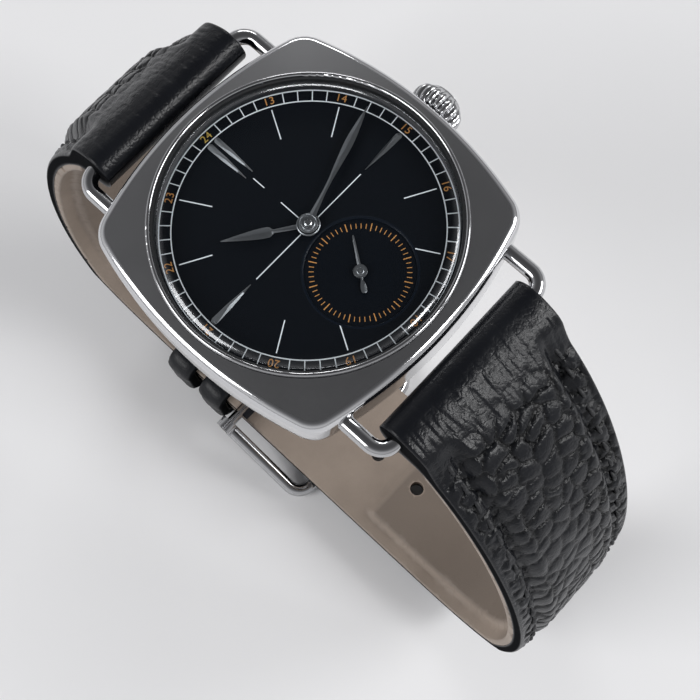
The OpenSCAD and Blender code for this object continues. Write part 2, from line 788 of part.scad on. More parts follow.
module hour_wheel() {
    color("gold") at_dial() difference() {
        union() {
            wheel_at(centre_at, motion_low + 0.5, 0.2)
                polygon(tooth_ring(hour_teeth, hour_m, bearing(centre_at, minute_at) + 4.5));
            disc(pipe_r, motion_low + 0.5, hour_hand_z + 0.24);
        }
        disc(cannon_r + run, motion_low, 2);
    }
}

module mainspring_barrel() {
    color("gold") at_dial() translate([barrel_at[0], barrel_at[1], 0]) difference() {
        union() {
            translate([0, 0, barrel_low]) linear_extrude(0.26)
                polygon(tooth_ring(barrel_teeth, barrel_m, bearing(barrel_at, centre_at)));
            disc(barrel_r - 0.35, barrel_low, barrel_high);
        }
        disc(barrel_r - 0.65, barrel_low + 0.2, barrel_high - 0.15);
        disc(0.5 + pivot_gap, barrel_low - cut, barrel_high + cut);
    }
}

// A flat spiral band, wound from the arbor to the barrel's wall
function spiral(turns, r0, r1, steps) = [
    for (i = [0:steps]) let (a = 360 * turns * i / steps, r = r0 + (r1 - r0) * i / steps) r * [cos(a), sin(a)]
];

module spiral_band(turns, r0, r1, t, steps) {
    near = spiral(turns, r0, r1, steps);
    far = spiral(turns, r0 + t, r1 + t, steps);
    polygon(concat(near, [for (i = [steps:-1:0]) far[i]]));
}

module mainspring() {
    color("steelblue") at_dial() translate([barrel_at[0], barrel_at[1], barrel_low + 0.24])
        linear_extrude(barrel_high - barrel_low - 0.45) spiral_band(6, 1.25, barrel_r - 0.8, 0.15, 120);
}

module centre_wheel() {
    color("gold") at_dial() difference() {
        union() {
            wheel_at(centre_at, level_a) spoked(
                tooth_ring(centre_teeth, centre_m, bearing(centre_at, third_at)), centre_r - 0.75, 1, 5, 0.5
            );
            wheel_at(centre_at, barrel_low + 0.02, 0.3)
                polygon(tooth_ring(centre_pinion_teeth, barrel_m, bearing(centre_at, barrel_at) + 15));
            disc(0.5, barrel_low + 0.3, level_a);
            disc(centre_arbor_r, bridge_low + 0.1, minute_hand_z + 0.06);
        }
    }
}

module third_wheel() {
    turn = bearing(third_at, centre_at);
    color("gold") at_dial() {
        wheel_at(third_at, level_c) spoked(
            tooth_ring(third_teeth, third_m, bearing(third_at, fourth_at)), third_m * third_teeth / 2 - 0.55, 0.6, 5, 0.35
        );
        wheel_at(third_at, level_a - 0.1, wheel_t + 0.2) polygon(tooth_ring(leaf_teeth, centre_m, turn + 22.5));
        translate([third_at[0], third_at[1], 0]) disc(arbor_r, bridge_low, plate_low + 0.5);
    }
}

module fourth_wheel() {
    color("gold") at_dial() {
        wheel_at(fourth_at, level_b) spoked(
            tooth_ring(fourth_teeth, fourth_m, bearing(fourth_at, escape_at)), fourth_m * fourth_teeth / 2 - 0.5, 0.55, 5, 0.3
        );
        wheel_at(fourth_at, level_c - 0.1, wheel_t + 0.2)
            polygon(tooth_ring(leaf_teeth, third_m, bearing(fourth_at, third_at) + 22.5));
        translate([0, -seconds_y, 0]) disc(seconds_arbor_r, bridge_low, 0.24);
    }
}

module escape_wheel() {
    color("gold") at_dial() {
        wheel_at(escape_at, level_a) spoked(hooked_ring(escape_teeth, escape_r, 0.55), escape_r - 0.85, 0.45, 4, 0.22);
        wheel_at(escape_at, level_b - 0.08, wheel_t + 0.16)
            polygon(tooth_ring(leaf_teeth, fourth_m, bearing(escape_at, fourth_at) + 22.5));
        translate([escape_at[0], escape_at[1], 0]) disc(arbor_r, bridge_low, plate_low + 0.5);
    }
}

// Two jewelled arms beside the escape wheel and a fork that reaches the balance's roller
module pallet_fork() {
    turn = bearing(pallet_at, balance_at);
    color("lightgray") at_dial() {
        translate([pallet_at[0], pallet_at[1], level_a]) rotate(turn) linear_extrude(wheel_t) {
            circle(r = 0.26, $fn = 32);
            polygon([[0, -0.16], [fork_l - 1.5, -0.12], [fork_l - 1.5, 0.12], [0, 0.16]]);
            polygon([[fork_l - 1.55, -0.3], [fork_l - 0.75, -0.32], [fork_l - 0.75, -0.18], [fork_l - 1.3, -0.12]]);
            polygon([[fork_l - 1.55, 0.3], [fork_l - 0.75, 0.32], [fork_l - 0.75, 0.18], [fork_l - 1.3, 0.12]]);
            polygon([[fork_l - 1.6, -0.3], [fork_l - 1.3, -0.3], [fork_l - 1.3, 0.3], [fork_l - 1.6, 0.3]]);
            for (s = [-1, 1]) {
                polygon([[-0.12, 0], [0.2, 0], [0.1, s * 1.35], [-0.1, s * 1.6], [-0.3, s * 1.5]]);
                polygon([[-0.1, s * 1.25], [-0.1, s * 1.55], [-0.48, s * 1.42], [-0.52, s * 1.2]]);
            }
        }
        translate([pallet_at[0], pallet_at[1], 0]) disc(arbor_r, bridge_low, plate_low + 0.5);
    }
}

module balance_wheel() {
    color("gold") at_dial() translate([balance_at[0], balance_at[1], 0]) {
        translate([0, 0, level_c]) linear_extrude(0.3) {
            difference() {
                circle(r = balance_r);
                circle(r = balance_r - 0.5);
            }
            difference() {
                union() {
                    square([2 * balance_r - 0.6, 0.5], center = true);
                    circle(r = 0.6);
                }
            }
        }
        disc(0.45, level_a, level_a + wheel_t);
        disc(arbor_r, bridge_low, plate_low + 0.5);
    }
}

module hairspring() {
    color("steelblue") at_dial() translate([balance_at[0], balance_at[1], bridge_top + 0.12]) {
        linear_extrude(0.14) spiral_band(7, 0.35, 2.9, 0.07, 154);
        ring(0.45, arbor_r, 0, 0.14);
    }
}

module ratchet_wheel() {
    color("silver") at_dial() translate([barrel_at[0], barrel_at[1], 0]) {
        translate([0, 0, ratchet_low]) linear_extrude(ratchet_high - ratchet_low)
            polygon(tooth_ring(ratchet_teeth, ratchet_m, bearing(barrel_at, crown_wheel_at)));
        disc(0.5, ratchet_low, barrel_high + 0.7);
        disc(1.1, barrel_low + 0.25, barrel_high - 0.2);
    }
}

// A sprung beak beside the ratchet wheel that stops it turning back
module ratchet_click() {
    turn = bearing(click_at, barrel_at);
    color("silver") at_dial() translate([click_at[0], click_at[1], 0]) {
        disc(0.3, ratchet_low, bridge_low);
        translate([0, 0, ratchet_low]) rotate(turn) linear_extrude(ratchet_high - ratchet_low) {
            circle(r = 0.65, $fn = 48);
            polygon([[-0.45, -0.1], [0.3, -0.45], [0.62, 0.2], [0.92, 1.2], [0.5, 1.15], [-0.2, 0.5]]);
            polygon([[-0.6, -0.1], [-0.3, -0.5], [-1.4, -2.6], [-1.6, -2.5]]);
        }
    }
}

// Spur teeth mesh with the ratchet wheel; upright teeth reach the winding pinion
module crown_wheel() {
    spur_turn = bearing(crown_wheel_at, barrel_at) + 180 / crown_teeth;
    tooth = 0.26;
    color("silver") at_dial() translate([crown_wheel_at[0], crown_wheel_at[1], 0]) {
        translate([0, 0, ratchet_low]) linear_extrude(ratchet_high - ratchet_low)
            polygon(tooth_ring(crown_teeth, ratchet_m, spur_turn));
        ring(contrate_r + 0.3, contrate_r - 0.3, ratchet_high - 0.1, contrate_top - 0.5);
        intersection() {
            ring(contrate_r + 0.3, contrate_r - 0.3, contrate_top - 0.6, contrate_top);
            for (i = [0:contrate_teeth - 1]) rotate(360 / contrate_teeth * (i + 0.5))
                translate([contrate_r - 0.5, -tooth / 2, contrate_top - 1]) cube([1, tooth, 1.5]);
        }
        disc(0.5, ratchet_high - 0.1, plate_low);
    }
}

module winding_pinion() {
    color("silver") at_dial() translate([pinion_x - 0.45, 0, stem_z]) rotate([0, 90, 0]) difference() {
        union() {
            for (i = [0:pinion_teeth - 1]) rotate(360 / pinion_teeth * i) translate([0, -0.11, 0])
                cube([pinion_r, 0.22, 0.9]);
            cylinder(r = pinion_r - 0.45, h = 0.9);
        }
        translate([0, 0, -cut]) cylinder(r = tube_bore, h = 2);
    }
}

module winding_stem() {
    color("silver") at_dial() translate([stem_start, 0, stem_z]) rotate([0, 90, 0])
        cylinder(r = stem_r, h = crown_x + 1.2 - stem_start);
}

// A heavy half ring on a cut-out web
module rotor() {
    color("silver") at_dial() difference() {
        intersection() {
            union() {
                ring(rotor_r, rotor_r * 0.82, rotor_high - rotor_t, rotor_high);
                disc(rotor_r - 1, rotor_high - 0.3, rotor_high);
            }
            translate([-rotor_r, -rotor_r, -20]) cube([2 * rotor_r, rotor_r + 2, 40]);
        }
        for (a = [-55, -125]) rotate(a) translate([rotor_r * 0.463, 0, 0]) disc(rotor_r * 0.172, -20, 0);
        for (s = [-1, 1]) translate([s * rotor_r * 0.716, rotor_r * 0.194, 0]) disc(rotor_r * 0.254, -20, 0);
        disc(post_r + run, -20, 0);
    }
}

module rotor_post() {
    color("silver") at_dial() {
        disc(post_r, rotor_high - 0.34, bridge_low);
        disc(post_r + 0.7, rotor_high - 0.5, rotor_high - 0.34);
        disc(post_r + 0.3, rotor_high + 0.05, bridge_low);
    }
}

// Crown

module crown_tube() {
    start = bay_r + 0.3;
    color("silver") at_dial() translate([start, 0, stem_z]) rotate([0, 90, 0]) difference() {
        cylinder(r = tube_r, h = crown_x + 1 - start);
        translate([0, 0, -cut]) cylinder(r = tube_bore, h = 8);
    }
}

module crown_seal() {
    color("black") at_dial() translate([crown_x + 0.2, 0, stem_z]) rotate([0, 90, 0]) difference() {
        cylinder(r = tube_r + 0.37, h = 0.5);
        translate([0, 0, -cut]) cylinder(r = tube_r + pivot_gap, h = 0.5 + 2 * cut);
    }
}

// A rounded, deeply fluted knob with a low domed cap
module crown() {
    flute_r = PI * crown_r / crown_flutes * 0.62;
    color("gainsboro") at_dial() translate([crown_x, 0, stem_z]) rotate([0, 90, 0]) difference() {
        union() {
            difference() {
                rotate_extrude() polygon([
                    [0, 0], [crown_r - 0.45, 0], [crown_r - 0.1, 0.3], [crown_r, 0.9], [crown_r, crown_l * 0.5],
                    [crown_r - 0.25, crown_l * 0.72], [crown_r - 0.9, crown_l * 0.88], [0, crown_l * 0.88]
                ]);
                for (i = [0:crown_flutes - 1]) rotate(360 / crown_flutes * i) translate([crown_r + flute_r * 0.4, 0, -1])
                    cylinder(r = flute_r, h = crown_l + 2, $fn = 24);
            }
            intersection() {
                cylinder(r = crown_r * 0.68, h = crown_l);
                translate([0, 0, crown_l - 8]) sphere(r = 8, $fn = 120);
            }
        }
        translate([0, 0, -cut]) cylinder(r = tube_r + 0.4, h = 1.05 + cut);
        translate([0, 0, -cut]) cylinder(r = stem_r, h = 1.2 + cut);
    }
}

// Wire lugs, bent from one length of round wire and set into the case

module wire_lug() {
    bar_l = 2 * (lug_half - wire_bend);
    leg_l = lug_reach - wire_bend - wire_foot;
    color("gainsboro") at_dial() translate([0, lug_reach, -lug_depth]) {
        rotate([0, 90, 0]) cylinder(r = wire_r, h = bar_l, center = true);
        for (s = [-1, 1]) {
            translate([s * bar_l / 2, -wire_bend, 0]) rotate(s > 0 ? 0 : 90)
                rotate_extrude(angle = 90) translate([wire_bend, 0]) circle(r = wire_r, $fn = 48);
            translate([s * lug_half, -wire_bend, 0]) rotate([90, 0, 0]) cylinder(r = wire_r, h = leg_l);
        }
    }
}

module wire_lug_12() {
    wire_lug();
}

module wire_lug_6() {
    mirror([0, 1, 0]) wire_lug();
}

// Strap

// Places a piece on the buckle's bar, with +Y towards the frame's end
module at_bar() {
    translate([-lean, bar_y, bar_z]) mirror([0, 1, 0]) children();
}

module bar_clearance() {
    at_bar() {
        rotate([0, 90, 0]) cylinder(r = bar_r, h = 60, center = true);
        translate([-tang_w / 2 - 0.25, -2.6, -5]) cube([tang_w + 0.5, 8, 10]);
    }
}

module strap_12_leather() {
    color([0.05, 0.05, 0.06]) difference() {
        union() {
            mirror([0, 1, 0]) strap_leather(short_curve, short_run, short_t);
            at_bar() rotate([0, 90, 0]) cylinder(d = short_t, h = strap_end_w, center = true);
        }
        translate([-40, bar_y, short_top - lining_t]) cube([80, 3, lining_t + cut]);
        bar_clearance();
    }
}

module strap_12_lining() {
    color("tan") difference() {
        mirror([0, 1, 0]) strap_lining(short_curve, short_run, short_t);
        bar_clearance();
    }
}

module strap_6_leather() {
    color([0.05, 0.05, 0.06]) difference() {
        intersection() {
            strap_leather(long_curve, long_run, tail_t);
            tail_outline();
        }
        tail_holes();
    }
}

module strap_6_lining() {
    color("tan") difference() {
        intersection() {
            strap_lining(long_curve, long_run, tail_t);
            tail_outline();
        }
        tail_holes();
    }
}

module keeper(y, high) {
    translate([-lean, y, (high + keeper_low) / 2]) rotate([90, 0, 0]) linear_extrude(keeper_w, center = true) difference() {
        rounded(2 * (keeper_half + keeper_t), high - keeper_low + 2 * keeper_t, 1.4);
        square([2 * keeper_half, high - keeper_low], center = true);
    }
}

module rounded(w, h, r) {
    square([w, h - 2 * r], center = true);
    square([w - 2 * r, h], center = true);
    for (x = [-1, 1], y = [-1, 1]) translate([x * (w / 2 - r), y * (h / 2 - r)]) circle(r = r, $fn = 32);
}

module fixed_keeper() {
    color([0.05, 0.05, 0.06]) keeper(bar_y + 2.2 + keeper_w / 2, short_top);
}

module free_keeper() {
    color([0.05, 0.05, 0.06]) keeper(bar_y + 8.2 + keeper_w / 2, short_top + keeper_gap);
}

// Buckle

module buckle_bar() {
    color("silver") at_bar() rotate([0, 90, 0]) cylinder(r = bar_r, h = 2 * frame_half + 0.9, center = true);
}

// A wire frame with an eye on each side, tilted so that its end lies under the tail
module buckle_frame() {
    rail = buckle_l - frame_bend;
    end_half = frame_half - frame_bend;
    color("gainsboro") at_bar() rotate([-frame_tilt, 0, 0]) difference() {
        union() {
            for (s = [-1, 1]) {
                translate([s * frame_half, 0, 0]) rotate([-90, 0, 0]) cylinder(d = frame_d, h = rail);
                translate([s * end_half, rail, 0]) rotate(s > 0 ? 0 : 90)
                    rotate_extrude(angle = 90) translate([frame_bend, 0]) circle(d = frame_d, $fn = 48);
                translate([s * frame_half, 0, 0]) rotate([0, 90, 0]) cylinder(r = bar_r + 0.65, h = eye_w, center = true);
            }
            translate([0, buckle_l, 0]) rotate([0, 90, 0]) cylinder(d = frame_d, h = 2 * end_half, center = true);
        }
        for (s = [-1, 1]) translate([s * frame_half, 0, 0]) rotate([0, 90, 0])
            cylinder(r = bar_r + run, h = 2 * frame_d, center = true);
        translate([-tang_w / 2 - 0.15, buckle_l - 2, -2 * frame_d]) cube([tang_w + 0.3, 4, 2 * frame_d - 0.05]);
    }
}

// The tang hangs on the bar, drops through the slot and lies in the frame's notch
module buckle_tang() {
    eye_r = bar_r + 0.62;
    reach = buckle_l + 0.2;
    under = tail_low - bar_z;
    drop = bar_z - rest_z;
    color("gainsboro") at_bar() difference() {
        union() {
            rotate([0, 90, 0]) cylinder(r = eye_r, h = tang_w, center = true);
            rotate([90, 0, 90]) linear_extrude(tang_w, center = true) polygon([
                [-0.2, eye_r - 0.1], [2.2, -0.1], [3.8, under + 1.6], [4.8, under - 0.1],
                [reach - 1.6, 0.75 - drop], [reach, 0.4 - drop],
                [reach, 0.05 - drop], [reach - 1.2, 0.05 - drop], [4.6, under - 1], [3.6, under - 0.2],
                [2.6, under + tail_t + 0.1], [0.2, -eye_r + 0.1]
            ]);
        }
        rotate([0, 90, 0]) cylinder(r = bar_r + run, h = 10, center = true);
    }
}

case_middle();
bezel_ring();
crystal();
crystal_seal();
inner_flange();
case_back();
back_seal();
dial();
seconds_dial();
hour_markers();
hour_hand();
minute_hand();
seconds_hand();
movement_ring();
main_plate();
barrel_bridge();
train_bridge();
balance_cock();
bridge_screws();
cannon_pinion();
minute_wheel();
hour_wheel();
mainspring_barrel();
mainspring();
centre_wheel();
third_wheel();
fourth_wheel();
escape_wheel();
pallet_fork();
balance_wheel();
hairspring();
ratchet_wheel();
ratchet_click();
crown_wheel();
winding_pinion();
winding_stem();
rotor();
rotor_post();
crown_tube();
crown_seal();
crown();
wire_lug_12();
wire_lug_6();
strap_12_leather();
strap_12_lining();
strap_6_leather();
strap_6_lining();
fixed_keeper();
free_keeper();
buckle_bar();
buckle_frame();
buckle_tang();
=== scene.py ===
import json
import math

import bmesh
import bpy
import numpy as np
from bpy.props import FloatProperty, FloatVectorProperty, IntProperty, PointerProperty
from mathutils import Matrix, Vector

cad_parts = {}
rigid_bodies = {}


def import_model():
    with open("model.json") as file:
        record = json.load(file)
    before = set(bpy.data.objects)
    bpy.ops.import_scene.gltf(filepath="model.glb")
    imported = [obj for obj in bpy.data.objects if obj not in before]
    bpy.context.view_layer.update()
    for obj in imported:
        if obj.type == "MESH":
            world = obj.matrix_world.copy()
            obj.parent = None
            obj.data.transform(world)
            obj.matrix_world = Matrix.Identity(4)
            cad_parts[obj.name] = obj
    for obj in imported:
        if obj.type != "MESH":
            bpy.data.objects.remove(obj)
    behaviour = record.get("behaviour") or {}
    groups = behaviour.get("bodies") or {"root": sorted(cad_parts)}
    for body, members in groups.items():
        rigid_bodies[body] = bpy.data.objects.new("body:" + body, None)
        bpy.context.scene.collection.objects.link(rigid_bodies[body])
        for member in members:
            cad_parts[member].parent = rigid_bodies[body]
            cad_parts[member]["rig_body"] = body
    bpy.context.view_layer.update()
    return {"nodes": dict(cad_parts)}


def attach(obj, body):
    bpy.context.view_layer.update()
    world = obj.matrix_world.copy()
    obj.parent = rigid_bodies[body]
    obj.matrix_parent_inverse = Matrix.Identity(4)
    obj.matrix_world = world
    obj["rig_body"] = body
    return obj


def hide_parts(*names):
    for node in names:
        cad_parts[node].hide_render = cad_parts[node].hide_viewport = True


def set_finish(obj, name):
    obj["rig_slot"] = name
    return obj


bl_info = {
    "name": "Square wristwatch",
    "version": (1, 0, 0),
    "blender": (4, 5, 0),
    "location": "View3D > Sidebar > Watch",
    "description": "Dresses the frame of a square wristwatch with its finished pieces",
    "category": "Add Mesh",
}

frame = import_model()
MM = 0.001
QUARTER = math.pi / 2

# Heights and radii of the case in mm, as in the part's source; heights are from the dial's face
DIAL_Z = 7.4
CASE_DEPTH = 4.8
CASE_TOP = 1.75
CASE_SIDE = 17.7
SIDE_R = 48.0
CORNER_R = 3.4
BEZEL_R = 16.05
FLANGE_R = 15.3
BAY_R = 14.75
GLASS_SEAT = 0.95
CRYSTAL_R = 15.35
CRYSTAL_EDGE = 1.1
DOME_RISE = 1.2

# The dial in mm: its small dial, print, numbers and markers
SECONDS_AT = (0.0, -7.05)
SECONDS_FLOOR = -0.18
PRINT_T = 0.012
MINUTE_ANGLES = [6 * i for i in range(60) if i % 5]
NUMBERS = (24, 13, 14, 15, 16, 17, 18, 19, 20, 21, 22, 23)
FONT_PER_HEIGHT = 1.36
NUMBER_R = 14.45
MARKER_OUTER = 13.7
MARKER_LENGTH = 5.4

# The crown in mm: its height from the dial's face, its inner face's distance and its flutes
STEM_Z = -2.6
CROWN_X = 18.15
FLUTE_DEPTH = 0.42
FLUTE_STEPS = 16

# Outer skin of the case: height above the dial and inset from the widest outline
SKIN = (
    (-4.8, 0.9), (-4.62, 0.58), (-4.3, 0.35), (-3.9, 0.17), (-3.4, 0.05), (-2.4, 0.01),
    (-1.2, 0.0), (-0.4, 0.005), (0.05, 0.015), (0.3, 0.03), (0.5, 0.07), (0.68, 0.125),
    (0.82, 0.195), (0.94, 0.275), (1.04, 0.365), (1.12, 0.46), (1.19, 0.57), (1.245, 0.68),
    (1.285, 0.79), (1.305, 0.88),
)
TOP_FALL = 0.115

# Straps in mm: their curves seen from the side, half widths, thicknesses and heights
LONG_CURVE = ((-21.0, 5.9), (-40.0, 1.4), (-57.0, -44.9), (-30.0, -44.9))
SHORT_CURVE = ((-21.0, 5.9), (-34.0, 1.4), (-46.0, -42.1), (-18.0, -42.1))
LUG_Z = 5.9
WRAP_R = 2.2
FOOT_Z = -37.0
LEAN = 5.6
TOP_HALF = 10.0
FOOT_HALF = 9.0
PAD_T = 3.8
SHORT_T = 2.8
TAIL_T = 2.2
EDGE_T = 2.3
LINING_T = 0.9
BOLSTER_T = 0.8
BOLSTER_W = 2.6
BOLSTER_END = 18.6
TAIL_TOP = -43.8
TAIL_LOW = -46.0
TAIL_TIP = 25.0
TIP_REACH = 9.0
SHORT_TOP = -40.7
SHORT_REACH = 1.4
SHOWN_LENGTH = 62
PAD_FROM = 2.7
PAD_FULL = 4.5
GROOVE_AT = 2.95
GROOVE_DEPTH = 0.24
SWELL_AT = 1.4
SWELL = 0.12
STITCH_INSET = 2.0
STITCH_FIRST = 5.6
STITCH_LENGTH = 2.1
STITCH_T = 0.56
STITCH_DIP = 0.35
STITCH_SLANT = 0.12
TIP_STITCHES = 7

# Leather grain: spacing of its points in mm, widths of cracks as shares of a pebble, and depths
FINE = 0.15
CRACK_W = 0.17
FRINGE_W = 0.42
WRINKLE_W = 0.3
WRINKLE_DEPTH = 0.085
PLEAT_DEPTH = 0.1
PEBBLE_RISE = 0.3

# Buckle, holes and keepers in mm, and the floor that the watch stands on
BAR_Y = 3.6
BAR_Z = -42.1
HOLE_R = 0.95
HOLE_PITCH = 7.2
OPEN_HOLES = (-3, -2, -1, 1, 2)
TANG_HOLE_Y = BAR_Y - 3.6
TANG_HOLE_STRETCH = 1.6
SLOT_Y = BAR_Y - 2.4
SLOT_R = 1.0
SLOT_STRETCH = 3.3
KEEPER_HALF = 9.2
KEEPER_W = 4.2
KEEPER_T = 1.8
KEEPER_CORNER = 1.6
FIXED_GAP = 2.2
FREE_GAP = 8.2
REST_Z = -48.0

# Clock angles of the hands, as in the photograph
HOUR_ANGLE = 306
MINUTE_ANGLE = 72
SECOND_ANGLE = 36

# How much lighter than satin steel the polished parts are, and how much lighter the case's polished
# sides are painted; on the case's sides the lighter colour is a painted highlight standing in for
# the reflection of a broad lamp
POLISHED = 1.5
SIDE_SHINE_PAINTED = 1.8

# The photograph's camera
LENS = 59.44
CAMERA_AT = (-0.02627, -0.03407, 0.11541)
CAMERA_RIGHT = (0.6814, -0.7314, -0.0267)
CAMERA_BACK = (-0.1759, -0.1991, 0.9641)


# Selecting, placing and shaping

def select_nothing():
    """Clears the selection before a new piece is made."""
    bpy.ops.object.select_all(action="DESELECT")


def only(*pieces):
    """Selects just these pieces; the first is the active one."""
    select_nothing()
    for piece in pieces:
        piece.select_set(True)
    bpy.context.view_layer.objects.active = pieces[0]


def name_piece(piece, name):
    """Names the piece and its mesh."""
    piece.name = name
    piece.data.name = name
    return piece


def settle(piece):
    """Moves the piece's place into its mesh."""
    only(piece)
    bpy.ops.object.transform_apply(location=True, rotation=True, scale=True)
    return piece


def outwards(piece):
    """Turns the piece's faces outwards."""
    only(piece)
    bpy.ops.object.mode_set(mode="EDIT")
    bpy.ops.mesh.select_all(action="SELECT")
    bpy.ops.mesh.normals_make_consistent(inside=False)
    bpy.ops.object.mode_set(mode="OBJECT")
    return piece


def smooth(piece, degrees=30):
    """Shades the piece smooth, apart from edges sharper than the angle."""
    only(piece)
    bpy.ops.object.shade_smooth_by_angle(angle=math.radians(degrees))
    return piece


def finish_modifier(piece, kind, **settings):
    """Adds a modifier with these settings and applies it."""
    only(piece)
    modifier = piece.modifiers.new(kind.title(), kind)
    for key, value in settings.items():
        setattr(modifier, key, value)
    bpy.ops.object.modifier_apply(modifier=modifier.name)
    return piece


def point_places(piece):
    """The places of the piece's points, as Blender holds them in metres."""
    places = np.zeros(len(piece.data.vertices) * 3)
    piece.data.vertices.foreach_get("co", places)
    return places.reshape(-1, 3)


def move_points(piece, places):
    """Moves the piece's points to places in mm."""
    piece.data.vertices.foreach_set("co", (places * MM).ravel())


def mark(piece, name, values):
    """Writes one number for each point of the piece, for a material to read."""
    attribute = piece.data.attributes.new(name, "FLOAT", "POINT")
    attribute.data.foreach_set("value", np.asarray(values, np.float32))


def ball_sleeve(name, rings, first=None, last=None, **marks):
    """A ball drawn out into rings of points in mm, shape (rings, points, 3), and two end points.

    An end that isn't given lies in the middle of its ring. Marks hold a number for each ring's
    point and are nothing at the ends.
    """
    rings = np.asarray(rings, float)
    count, around = rings.shape[:2]
    select_nothing()
    bpy.ops.mesh.primitive_uv_sphere_add(segments=around, ring_count=count + 1, radius=1)
    piece = name_piece(bpy.context.object, name)
    start = point_places(piece)
    level = np.arccos(np.clip(start[:, 2], -1, 1)) / math.pi * (count + 1)
    level = np.rint(level).astype(int)
    turn = np.arctan2(start[:, 1], start[:, 0]) / (2 * math.pi) * around
    turn = np.rint(turn).astype(int) % around
    body = (level > 0) & (level < count + 1)
    place = np.empty_like(start)
    place[body] = rings[level[body] - 1, turn[body]]
    place[level == 0] = rings[0].mean(0) if first is None else first
    place[level == count + 1] = rings[-1].mean(0) if last is None else last
    move_points(piece, place)
    outwards(piece)
    for key, values in marks.items():
        numbers = np.zeros(len(start))
        numbers[body] = values[level[body] - 1, turn[body]]
        mark(piece, key, numbers)
    return piece


def ring_sleeve(name, rings):
    """A torus opened out into closed rings of points in mm, shape (rings, points, 3)."""
    rings = np.asarray(rings, float)
    minor, major = rings.shape[:2]
    select_nothing()
    bpy.ops.mesh.primitive_torus_add(
        major_segments=major, minor_segments=minor, major_radius=1, minor_radius=0.25)
    piece = name_piece(bpy.context.object, name)
    move_points(piece, rings.transpose(1, 0, 2).reshape(-1, 3))
    return outwards(piece)


def turned(name, profile, centre=(0.0, 0.0), steps=96, closed=False):
    """A piece turned about an upright axis, from radii and heights above the dial."""
    turns = np.arange(steps) * 2 * math.pi / steps
    rings = []
    for r, z in profile:
        x = centre[0] + r * np.cos(turns)
        y = centre[1] + r * np.sin(turns)
        rings.append(np.stack([x, y, np.full(steps, DIAL_Z + z)], 1))
    if closed:
        return ring_sleeve(name, rings)
    first = (centre[0], centre[1], DIAL_Z + profile[0][1])
    last = (centre[0], centre[1], DIAL_Z + profile[-1][1])
    return ball_sleeve(name, rings, first, last)


def twin_of(piece):
    """A copy of a piece, with its own mesh."""
    twin = piece.copy()
    twin.data = piece.data.copy()
    bpy.context.collection.objects.link(twin)
    return twin


def join(name, *pieces):
    """Joins pieces into one."""
    only(*pieces)
    if len(pieces) > 1:
        bpy.ops.object.join()
    return name_piece(bpy.context.object, name)


def copies(piece, places, name):
    """Copies a modelled piece to each place and joins the copies; the piece itself goes."""
    made = [twin_of(piece) for _ in places]
    bpy.data.objects.remove(piece)
    for twin, place in zip(made, places):
        twin.matrix_world = place
    bpy.context.view_layer.update()
    for twin in made:
        twin.data.transform(twin.matrix_world)
        twin.matrix_world = Matrix.Identity(4)
    return join(name, *made)


def give(piece, body, finish, slot, *nodes):
    """Finishes a piece: its material, its body, its slot and the CAD nodes it stands for."""
    piece.data.materials.clear()
    piece.data.materials.append(finish)
    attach(piece, body)
    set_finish(piece, slot)
    if nodes:
        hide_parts(*nodes)
    return piece


def dress(finish, *nodes):
    """Gives CAD nodes a material through their objects' slots."""
    for node in nodes:
        for slot in frame["nodes"][node].material_slots:
            slot.link = "OBJECT"
            slot.material = finish


# Materials

class Wire:
    """A number on a socket, which plain arithmetic works on."""

    def __init__(self, tree, socket):
        self.tree = tree
        self.socket = socket

    def worked(self, operation, first, second):
        """The outcome of one Math node."""
        node = self.tree.nodes.new("ShaderNodeMath")
        node.operation = operation
        plug(self.tree, node.inputs[0], first)
        plug(self.tree, node.inputs[1], second)
        return Wire(self.tree, node.outputs[0])

    def __add__(self, other):
        return self.worked("ADD", self, other)

    def __sub__(self, other):
        return self.worked("SUBTRACT", self, other)

    def __rsub__(self, other):
        return self.worked("SUBTRACT", other, self)

    def __mul__(self, other):
        return self.worked("MULTIPLY", self, other)

    def __pow__(self, other):
        return self.worked("POWER", self, other)

    __radd__ = __add__
    __rmul__ = __mul__


def plug(tree, socket, value):
    """Links a wire to a socket, or sets the socket's value."""
    if isinstance(value, Wire):
        tree.links.new(value.socket, socket)
    else:
        socket.default_value = value


def colour(values, share=1.0):
    """An opaque colour, made darker or lighter by the share."""
    return (values[0] * share, values[1] * share, values[2] * share, 1.0)


